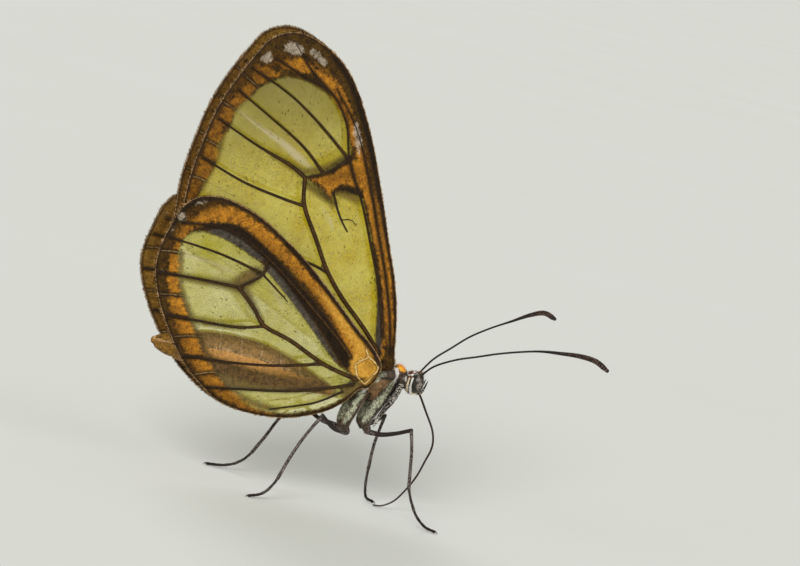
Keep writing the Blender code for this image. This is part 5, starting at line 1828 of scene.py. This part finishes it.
    def fields(self, places: Array, normals: Array) -> dict[str, Array]:
        """Work out the marks and the lie, length and density of the coat.

        Args:
            places: Points of the skin.
            normals: Its normal at each.

        Returns:
            For each attribute's name, its values.
        """
        run = self.along(places)[0]
        outer = np.abs(places[:, 1]) - 0.35
        fields = {name: np.minimum(deepest(places[:, [0, 2]], areas), outer)
                  for name, areas in BODY_AREAS.items()}
        fields |= self.abdomen_marks(places)
        from_tuft = (places - np.array(self.tuft)) * self.tuft_stretch
        tuft = self.tuft_size - np.linalg.norm(from_tuft, axis=1)
        fields["orange"] = tuft
        from_eye = 0.6 * (np.hypot((places[:, 0] - Eye.centre[0]) / Eye.radii[0],
                                   (places[:, 2] - Eye.centre[1]) / Eye.radii[2]) - 1.0)
        self.mark_head(places, from_eye, fields)
        way = np.tile(self.backward, (len(places), 1))
        down = np.clip((8.8 - places[:, 2]) / 0.6, 0.0, 1.0)[:, None] * (run < 1.5)[:, None]
        way = way * (1 - down) + np.array(self.downward) * down
        front = smooth_step((places[:, 0] - 2.5) / 0.3)[:, None]
        way = way * (1 - front) + np.array(self.forward) * front
        lie = way - normals * (way * normals).sum(1)[:, None]
        lie /= np.maximum(np.linalg.norm(lie, axis=1), 1e-6)[:, None]
        on_abdomen = smooth_step((run - 1.4) / 0.8)
        head = smooth_step((places[:, 0] - 1.7) / 0.3)
        reach = 1.0 - 0.62 * on_abdomen - 0.35 * down[:, 0] - 0.3 * head + 0.3 * smooth_step(tuft / 0.2)
        reach += 0.7 * smooth_step(fields["crown"] / 0.1)
        at_eye = head * (np.abs(places[:, 1]) > 0.4) * (from_eye < -0.04)
        density = (1.0 - 0.25 * on_abdomen) * (1 - at_eye)
        return fields | {"lie": lie, "reach": reach, "coat": density}

    def dress(self, frame: Frame, finish: Material, fur: Coat, nap: Coat) -> None:
        """Build the skin and both coats, and settle them.

        Args:
            frame: The frame of the solids.
            finish: The finish of the skin.
            fur: The longer hairs.
            nap: The short flat scales under them.
        """
        skin = self.skin()
        skin.data.materials.clear()
        skin.data.materials.append(finish)
        unwrap = Unwrap((3.4, 0.0, 10.4), (-18.3, 0.0, 9.2))
        hairs = fur.grow("body_hairs", skin, unwrap)
        scales = nap.grow("body_scales", skin, unwrap)
        frame.settle(skin, "body", self.nodes)
        frame.settle(hairs, "body")
        frame.settle(scales, "body")


@dataclass
class Eye:
    """A compound eye, set in the side of the head."""

    side: Side
    centre: tuple = (2.58, 10.4)
    depth_y: float = 0.5
    radii: tuple = (0.56, 0.62, 0.79)

    def dress(self, frame: Frame, finish: Material) -> None:
        """Build the eye with its bands and settle it.

        Args:
            frame: The frame of the solids.
            finish: Its finish.
        """
        middle = (self.centre[0], self.side.value * self.depth_y, self.centre[1])
        shape = egg(middle, self.radii, sides=72, rings=48)
        x, z = self.centre
        # The first band, broad over the upper half, is a painted reflection; the other two are narrower
        # lighter streaks.
        lines = (((x - 0.05, z + 0.55, 0.12), (x + 0.06, z + 0.25, 0.12), (x + 0.04, z - 0.05, 0.07),
                  (x + 0.02, z - 0.3, 0.02)),
                 ((x + 0.2, z + 0.2, 0.02), (x + 0.22, z - 0.05, 0.05), (x + 0.1, z - 0.4, 0.02)),
                 ((x + 0.4, z + 0.3, 0.03), (x + 0.43, z - 0.1, 0.03)))
        bands = deepest(shape[0][:, [0, 2]], tuple(Stroke(line) for line in lines))
        behind = behind_eye(shape[0])
        lower_rim = np.minimum(0.05 - np.abs(behind + 0.07), z - 0.05 - shape[0][:, 2])
        shadow = np.maximum(behind - 0.12, lower_rim)
        rim = np.minimum(0.07 - np.abs(behind - 0.06), 10.8 - shape[0][:, 2])
        eye = new_piece(f"eye_{self.side.word}_lenses", shape, finish,
                        {"band": bands, "shadow": shadow, "rim": rim})
        frame.settle(eye, "eye", (f"eye_{self.side.word}",))


@dataclass
class Limb:
    """A jointed limb of closed lengths that overlap at their joints."""

    name: str
    side: Side
    step: float = 0.09
    shapes: list[Shape] = field(default_factory=list)
    powders: list[Array] = field(default_factory=list)
    lies: list[Array] = field(default_factory=list)

    def add(self, points: Points, radii: tuple, powder: float = 0.3, sides: int = 12) -> None:
        """Add one length.

        Args:
            points: Its middle line for a left limb.
            radii: Its radius at even stations from start to end.
            powder: The share of pale scales on it.
            sides: Vertices in each ring.
        """
        line = spaced(smooth_line(points, 6), self.step) * (1.0, self.side.value, 1.0)
        stations = np.linspace(0.0, 1.0, len(radii))
        shape = tube(line, np.interp(np.linspace(0.0, 1.0, len(line)), stations, radii), sides)
        self.shapes.append(shape)
        self.powders.append(np.full(len(shape[0]), powder))
        way = line[-1] - line[0]
        self.lies.append(np.tile(way / np.linalg.norm(way), (len(shape[0]), 1)))

    def piece(self, finish: Material) -> Object:
        """Join the lengths into one piece.

        Args:
            finish: The piece's finish.

        Returns:
            The piece, still in millimetres and nowhere below the floor.
        """
        shape = merged(self.shapes)
        count = len(shape[0])
        shape[0][:, 2] = np.maximum(shape[0][:, 2], 0.0)
        return new_piece(self.name, shape, finish,
                         {"powder": np.concatenate(self.powders), "lie": np.vstack(self.lies),
                          "coat": np.ones(count), "reach": np.ones(count)})

    def unwrap(self, start: tuple, stop: tuple) -> Unwrap:
        """Return the unwrap between two points of a left limb, turned to this side."""
        return Unwrap(*(tuple(np.array(end) * (1, self.side.value, 1)) for end in (start, stop)))


@dataclass
class Leg:
    """A walking leg from its trochanter to its claws, along the middle lines of the solids."""

    stem: str
    side: Side
    femur: tuple
    tibia: tuple
    tarsus: tuple
    toe_joints: tuple = (0.0, 0.42, 0.62, 0.77, 0.88, 1.0)
    trochanter_radii: tuple = (0.24, 0.22, 0.16)
    femur_radii: tuple = (0.17, 0.19, 0.17, 0.15, 0.15)
    tibia_radii: tuple = (0.14, 0.12, 0.125, 0.13, 0.14)
    toe_radii: tuple = (0.105, 0.1, 0.12)
    claw_radii: tuple = (0.045, 0.03, 0.008)
    spur_radii: tuple = (0.035, 0.025, 0.006)
    claw_spread: float = 0.1
    spur_spread: float = 0.12
    lowest: float = 0.085

    def dress(self, frame: Frame, finish: Material, bristles: Coat) -> None:
        """Build the leg with its toes, claws, spurs and bristles, and settle it.

        Args:
            frame: The frame of the solids.
            finish: The leg's finish.
            bristles: Its bristles.
        """
        node = f"{self.stem}_{self.side.word}"
        limb = Limb(f"{node}_leg", self.side)
        start = np.array(self.femur[0])
        limb.add([tuple(start + (0.0, 0.0, 0.25)), tuple(start), self.femur[1]], self.trochanter_radii, 0.55)
        limb.add(list(self.femur), self.femur_radii, 0.12)
        limb.add(list(self.tibia), self.tibia_radii, 0.65)
        path = spaced(smooth_line(self.tarsus, 8), 0.02)
        path[:, 2] = np.maximum(path[:, 2], self.lowest)
        cuts = (np.array(self.toe_joints) * (len(path) - 1)).astype(int)
        for k, (first, last) in enumerate(zip(cuts[:-1], cuts[1:])):
            part = path[first:last + 1]
            points = [tuple(p) for p in part[[0, len(part) // 2, -1]]]
            limb.add(points, self.toe_radii, 0.45 - 0.1 * k, 10)
        toe, way = path[-1], path[-1] - path[-6]
        way = way / np.linalg.norm(way)
        for spread in (-self.claw_spread, self.claw_spread):
            tip = toe + way * 0.28 + np.array([0.0, spread, -0.06])
            limb.add([tuple(toe), tuple(toe + way * 0.16 + (0.0, spread * 0.8, 0.05)), tuple(tip)],
                     self.claw_radii, 0.0, 8)
        knee, ankle = np.array(self.tibia[-2]), np.array(self.tibia[-1])
        down = (ankle - knee) / np.linalg.norm(ankle - knee)
        for spread in (-self.spur_spread, self.spur_spread):
            limb.add([tuple(ankle), tuple(ankle + down * 0.2 + (0.0, spread, 0.0)),
                      tuple(ankle + down * 0.42 + (0.05, 1.6 * spread, 0.0))], self.spur_radii, 0.2, 8)
        leg = limb.piece(finish)
        spines = bristles.grow(f"{node}_bristles", leg, limb.unwrap(self.femur[0], self.tarsus[-1]))
        frame.settle(leg, "leg", (f"{node}_femur", f"{node}_tibia", f"{node}_tarsus"))
        frame.settle(spines, "leg")


@dataclass
class Feeler:
    """A ringed feeler: a thin shaft of many short rings that swells into a club."""

    side: Side
    points: tuple
    shaft_radius: float = 0.078
    club_radius: float = 0.215
    ring: float = 0.22
    club_share: float = 0.44
    step: float = 0.052
    sides: int = 14
    cap_rings: int = 3

    def dress(self, frame: Frame, finish: Material) -> None:
        """Build the feeler and settle it.

        Args:
            frame: The frame of the solids.
            finish: Its finish.
        """
        line = spaced(smooth_line(self.points, 8), self.step) * (1.0, self.side.value, 1.0)
        share = np.linspace(0.0, 1.0, len(line))
        swell = smooth_step((share - 1 + self.club_share) / (0.84 * self.club_share))
        close = 1 - 0.3 * smooth_step((share - 0.97) / 0.03)
        base = 1 + hump(share, 0.5, 0.012)
        run = share * self.step * (len(line) - 1)
        groove = 1 + hump(run % self.ring - self.ring / 2, -0.13, 0.04)
        radii = (self.shaft_radius + (self.club_radius - self.shaft_radius) * swell) * close * base * groove
        shape = tube(line, radii, self.sides)
        rings = 0.1 + 0.75 * swell * (0.5 + 0.5 * np.cos(2 * math.pi * run / self.ring))
        powder = np.full(len(shape[0]), 0.1)
        first, last = self.cap_rings * self.sides, (self.cap_rings + len(line)) * self.sides
        powder[first:last] = np.repeat(rings, self.sides)
        node = f"antenna_{self.side.word}"
        feeler = new_piece(f"{node}_rings", shape, finish, {"powder": powder})
        frame.settle(feeler, "feeler", (f"{node}_shaft", f"{node}_club"))


@dataclass
class Tongue:
    """The sucking tongue, uncoiled to the floor: two half tubes side by side with fine rings."""

    points: tuple
    radius: float = 0.1
    half_gap: float = 0.035
    lowest: float = 0.075

    def dress(self, frame: Frame, finish: Material) -> None:
        """Build both halves and settle them as one piece.

        Args:
            frame: The frame of the solids.
            finish: The tongue's finish.
        """
        line = spaced(smooth_line(self.points, 8), 0.05)
        line[:, 2] = np.maximum(line[:, 2], self.lowest)
        share = np.linspace(0.0, 1.0, len(line))
        rings = 1 + 0.05 * np.sin(share * len(line) * math.pi / 2)
        radii = self.radius * (1 - 0.4 * share) * rings
        halves = [tube(line + (0.0, side.value * self.half_gap, 0.0), radii * 0.85, 12) for side in Side]
        shape = merged(halves)
        shape[0][:, 2] = np.maximum(shape[0][:, 2], 0.0)
        tongue = new_piece("proboscis_halves", shape, finish, {"powder": np.full(len(shape[0]), 0.05)})
        frame.settle(tongue, "feeler", ("proboscis_upper", "proboscis_middle", "proboscis_tip"))


@dataclass
class Palp:
    """An upturned palp in front of the face, thick with bristly scales."""

    side: Side
    points: tuple = ((2.85, 0.3, 9.62), (3.14, 0.33, 9.68), (3.3, 0.34, 10.05), (3.46, 0.33, 10.7))

    def dress(self, frame: Frame, finish: Material, bristles: Coat) -> None:
        """Build the palp and its bristles, and settle them.

        Args:
            frame: The frame of the solids.
            finish: The palp's finish.
            bristles: Its bristles.
        """
        limb = Limb(f"palp_{self.side.word}_core", self.side, step=0.06)
        limb.add(list(self.points[:3]), (0.07, 0.09, 0.08), 0.7)
        limb.add(list(self.points[2:]), (0.07, 0.06, 0.025), 0.0)
        palp = limb.piece(finish)
        hairs = bristles.grow(f"palp_{self.side.word}_bristles", palp,
                              limb.unwrap(self.points[0], self.points[-1]))
        frame.settle(palp, "body", (f"palp_{self.side.word}",))
        frame.settle(hairs, "body")


@dataclass
class Foreleg:
    """A small folded foreleg of a brush-footed butterfly, held against the breast."""

    side: Side

    def dress(self, frame: Frame, finish: Material, bristles: Coat) -> None:
        """Build the foreleg and its brush, and settle them.

        Args:
            frame: The frame of the solids.
            finish: The foreleg's finish.
            bristles: The hairs of its brush.
        """
        node = f"foreleg_{self.side.word}"
        limb = Limb(f"{node}_brush", self.side)
        limb.add([(1.4, 0.55, 10.0), (1.22, 0.62, 9.3), (0.92, 0.66, 8.5)], (0.22, 0.22, 0.2), 0.7)
        limb.add([(0.92, 0.66, 8.5), (0.58, 0.64, 7.9), (0.32, 0.62, 7.3)], (0.19, 0.18, 0.15), 0.5)
        limb.add([(0.32, 0.62, 7.3), (0.2, 0.62, 6.9), (0.1, 0.64, 6.55)], (0.14, 0.16, 0.05), 0.9)
        leg = limb.piece(finish)
        hairs = bristles.grow(f"{node}_hairs", leg, limb.unwrap((1.5, 0.55, 10.0), (0.15, 0.64, 6.5)))
        frame.settle(leg, "leg", (f"{node}_upper", f"{node}_lower"))
        frame.settle(hairs, "leg")


# Studio

@dataclass(frozen=True)
class Lamp:
    """A far soft lamp: where it shines from, its width seen from the animal in degrees, and its strength."""

    name: str
    place: tuple
    width: float
    power: float


@dataclass
class Studio:
    """The pale floor, soft lights and the camera at the photo's angle."""

    azimuth: float = math.radians(-15)
    elevation: float = math.radians(7)
    roll: float = math.radians(14.2)
    target: tuple = (-0.502, 0.0, 17.6)
    distance_mm: float = 253.333
    lens: float = 150.0
    floor_half: float = 9.0
    backdrop: str = "E9EAE4"
    backdrop_strength: float = 0.42
    sensor_mm: float = 36.0
    lamps: tuple = (
        Lamp("key", (-0.6, -1.0, 0.75), 30.0, 2.0),
        Lamp("fill", (1.0, -0.6, 0.35), 40.0, 0.6),
        Lamp("back", (-0.3, 1.0, 0.8), 30.0, 0.7),
    )

    def build(self, frame: Frame) -> None:
        """Build the whole studio.

        Args:
            frame: The frame of the solids.
        """
        self.floor()
        self.light()
        self.camera(frame)

    def floor(self) -> None:
        """Lay the floor."""
        half = self.floor_half
        corners = np.array([(-half, -half, 0.0), (half, -half, 0.0), (half, half, 0.0), (-half, half, 0.0)])
        finish = FloorFinish("matt_painted_floor").material()
        floor = new_piece("studio_floor", (corners, [(0, 1, 2, 3)]), finish, smooth=False)

    def light(self) -> None:
        """Set the pale world and the soft lamps, whose light comes from the side of their place."""
        scene = bpy.context.scene
        world = bpy.data.worlds.new("studio_world")
        world.use_nodes = True
        background = world.node_tree.nodes["Background"]
        background.inputs["Color"].default_value = linear(self.backdrop)
        background.inputs["Strength"].default_value = self.backdrop_strength
        scene.world = world
        for lamp in self.lamps:
            data = bpy.data.lights.new(lamp.name, "SUN")
            data.angle, data.energy = math.radians(lamp.width), lamp.power
            holder = bpy.data.objects.new(lamp.name, data)
            holder.location = lamp.place
            holder.rotation_euler = (-Vector(lamp.place)).to_track_quat("-Z", "Y").to_euler()
            scene.collection.objects.link(holder)
        scene.view_settings.view_transform = "Standard"
        scene.cycles.transparent_max_bounces = 32

    def camera(self, frame: Frame) -> None:
        """Set the camera where the photo was taken from, rolled as it was held.

        Args:
            frame: The frame of the solids.
        """
        sine, cosine = math.sin(self.azimuth), math.cos(self.azimuth)
        level = math.cos(self.elevation)
        back = Vector((sine * level, -cosine * level, math.sin(self.elevation)))
        flat = Vector((cosine, sine, 0.0))
        upright = flat.cross(-back)
        right = flat * math.cos(self.roll) + upright * math.sin(self.roll)
        up = upright * math.cos(self.roll) - flat * math.sin(self.roll)
        data = bpy.data.cameras.new("camera")
        data.lens, data.sensor_width = self.lens, self.sensor_mm
        data.clip_start, data.clip_end = 0.01, 20.0
        camera = bpy.data.objects.new("camera", data)
        place = (Vector(self.target) + back * self.distance_mm) * MM + frame.shift
        turn = Matrix((right, up, back)).transposed().to_4x4()
        camera.matrix_world = Matrix.Translation(place) @ turn
        bpy.context.scene.collection.objects.link(camera)
        bpy.context.scene.camera = camera


RIGHT_MIDLEG = Leg("midleg", Side.RIGHT,
                   ((-0.4, 0.9, 6.05), (0.5, 1.45, 6.1), (1.5, 2.0, 6.5), (2.5, 2.6, 7.1)),
                   ((2.5, 2.6, 7.1), (2.8, 3.0, 5.7), (2.95, 3.4, 4.3), (3.1, 3.8, 2.9)),
                   ((3.1, 3.8, 2.9), (3.5, 4.0, 1.95), (4.1, 4.2, 1.0), (4.9, 4.35, 0.35), (5.7, 4.4, 0.14)))
LEFT_MIDLEG = Leg("midleg", Side.LEFT,
                  ((-0.4, 0.9, 6.05), (0.55, 1.5, 6.45), (1.5, 2.1, 7.0)),
                  ((1.5, 2.1, 7.0), (1.25, 2.2, 4.7), (1.3, 2.3, 2.6)),
                  ((1.3, 2.3, 2.6), (1.4, 2.35, 1.4), (1.7, 2.45, 0.4), (2.3, 2.5, 0.14)))
RIGHT_HINDLEG = Leg("hindleg", Side.RIGHT,
                    ((-2.0, 0.9, 5.65), (-3.3, 1.9, 5.95), (-4.6, 2.9, 6.9)),
                    ((-4.6, 2.9, 6.9), (-5.7, 3.4, 5.1), (-6.5, 3.8, 3.35), (-7.1, 4.2, 1.75)),
                    ((-7.1, 4.2, 1.75), (-7.6, 4.4, 0.9), (-8.2, 4.5, 0.38), (-9.0, 4.6, 0.14)))
LEFT_HINDLEG = Leg("hindleg", Side.LEFT,
                   ((-2.0, 0.9, 5.65), (-3.5, 2.1, 5.75), (-5.2, 3.1, 6.7)),
                   ((-5.2, 3.1, 6.7), (-6.3, 3.35, 4.9), (-6.9, 3.6, 3.4), (-7.6, 3.9, 1.8)),
                   ((-7.6, 3.9, 1.8), (-8.3, 4.1, 0.85), (-9.4, 4.3, 0.3), (-10.7, 4.4, 0.14)))
RIGHT_FEELER = Feeler(Side.RIGHT, (
    (2.85, 0.3, 11.05), (3.5, 1.02, 12.05), (4.7, 2.0, 13.0), (6.0, 2.9, 13.7), (7.3, 3.8, 14.4),
    (8.6, 4.7, 15.0), (10.0, 5.5, 15.5), (11.4, 6.4, 15.8), (12.5, 7.2, 16.0), (13.5, 8.1, 16.0),
    (14.3, 8.9, 15.6)))
LEFT_FEELER = Feeler(Side.LEFT, (
    (2.78, 0.3, 11.05), (3.9, 1.3, 12.2), (5.4, 2.5, 13.15), (7.0, 3.6, 14.2), (8.8, 4.6, 15.1),
    (10.6, 5.7, 15.8), (12.2, 6.8, 16.4), (13.7, 7.9, 16.7), (15.0, 8.9, 16.3)))
TONGUE_LINE = ((2.95, 0.0, 9.8), (3.4, 0.0, 9.2), (4.0, 0.0, 8.3), (4.8, 0.0, 7.1), (5.15, 0.1, 6.2),
               (5.2, 0.2, 5.4), (5.0, 0.3, 4.5), (4.75, 0.5, 3.3), (4.4, 0.7, 2.3), (3.8, 0.9, 1.15),
               (3.35, 1.05, 0.6), (2.7, 1.15, 0.2), (2.1, 1.25, 0.12))


def build_wings(frame: Frame, tufts: NodeTree, hems: NodeTree) -> None:
    """Build the four wings.

    Args:
        frame: The frame of the solids.
        tufts: The tree that plants scales over a surface.
        hems: The tree that plants a fringe along a line.
    """
    scale_finish = ScaleFinish("wing_scales_dry_chitin").material()
    turns = {("forewing", Side.LEFT): math.radians(-0.5), ("hindwing", Side.LEFT): math.radians(2.0)}
    plans = (WingPlan("forewing", False, FOREWING_OUTLINE, FOREWING_VEINS, FOREWING_WINDOW, FOREWING_MARKS),
             WingPlan("hindwing", True, HINDWING_OUTLINE, HINDWING_VEINS, HINDWING_WINDOW, HINDWING_MARKS))
    films = (WingFinish("forewing_film_chitin"),
             WingFinish("hindwing_film_chitin", film="CEC444", film_pale="E2DC86", film_cover=0.4,
                        thin_cover=0.04))
    for plan, film in zip(plans, films):
        finish = film.material()
        scales = Coat(tufts, scale_finish, density=75.0, length=0.2, width=0.09, flatness=0.2, curl=0.05,
                      lift=0.22, disorder=0.45, seed=3)
        fringe = Coat(hems, scale_finish, density=18.0, length=0.1, width=0.06, flatness=0.4, curl=0.0,
                      lift=0.0, disorder=0.15, seed=5)
        for side in Side:
            Wing(plan, side, turns.get((plan.name, side), 0.0)).dress(frame, finish, scales, fringe)


def build_body(frame: Frame, tufts: NodeTree) -> None:
    """Build the skin, coat, eyes, palps, feelers, tongue and legs.

    Args:
        frame: The frame of the solids.
        tufts: The tree that plants hairs and scales over a surface.
    """
    hair = BodyFinish("body_hairs_chitin", "6E5A48", "261C16", relief=0.0, roughness=0.6).material()
    skin = BodyFinish("body_skin_scaled_chitin").material()
    leg_finish = ChitinFinish("leg_chitin_scaled", "0E0805", "2C1B11", fleck="AC9C92").material()
    bristle = ChitinFinish("bristle_chitin", "120C08", "3A2C1E", fleck="E4DED2").material()
    dark = ChitinFinish("feeler_chitin", "0A0604", "1E130C", fleck="9A7058", roughness=0.5).material()
    tongue = ChitinFinish("tongue_chitin", "1E130D", "3A2618", roughness=0.3).material()
    fur = Coat(tufts, hair, density=70.0, length=0.42, width=0.035, curl=0.25, lift=0.45, disorder=0.7,
               seed=11)
    nap = Coat(tufts, hair, density=130.0, length=0.16, width=0.07, flatness=0.25, curl=0.05, lift=0.2,
               disorder=0.5, seed=12)
    Body().dress(frame, skin, fur, nap)
    brush = Coat(tufts, bristle, density=110.0, length=0.16, width=0.03, curl=0.1, lift=0.5, disorder=0.6,
                 seed=14)
    whiskers = Coat(tufts, bristle, density=90.0, length=0.12, width=0.025, curl=0.05, lift=0.4,
                    disorder=0.5, seed=13)
    spines = Coat(tufts, dark, density=9.0, length=0.13, width=0.025, curl=0.0, lift=0.7, disorder=0.4,
                  seed=15)
    for side in Side:
        Eye(side).dress(frame, EyeFinish(f"compound_eye_{side.word}").material())
        Palp(side).dress(frame, bristle, whiskers)
        Foreleg(side).dress(frame, bristle, brush)
    for feeler in (RIGHT_FEELER, LEFT_FEELER):
        feeler.dress(frame, dark)
    Tongue(TONGUE_LINE).dress(frame, tongue)
    for leg in (RIGHT_MIDLEG, LEFT_MIDLEG, RIGHT_HINDLEG, LEFT_HINDLEG):
        leg.dress(frame, leg_finish, spines)


def main() -> None:
    """Build the whole scene round the solids."""
    logging.basicConfig(level=logging.INFO, format="%(message)s")
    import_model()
    frame = Frame.from_solids()
    tufts = TuftTree().build()
    hems = TuftTree(along_line=True, name="fringe").build()
    build_wings(frame, tufts, hems)
    build_body(frame, tufts)
    Studio().build(frame)


if __name__ == "__main__":
    main()
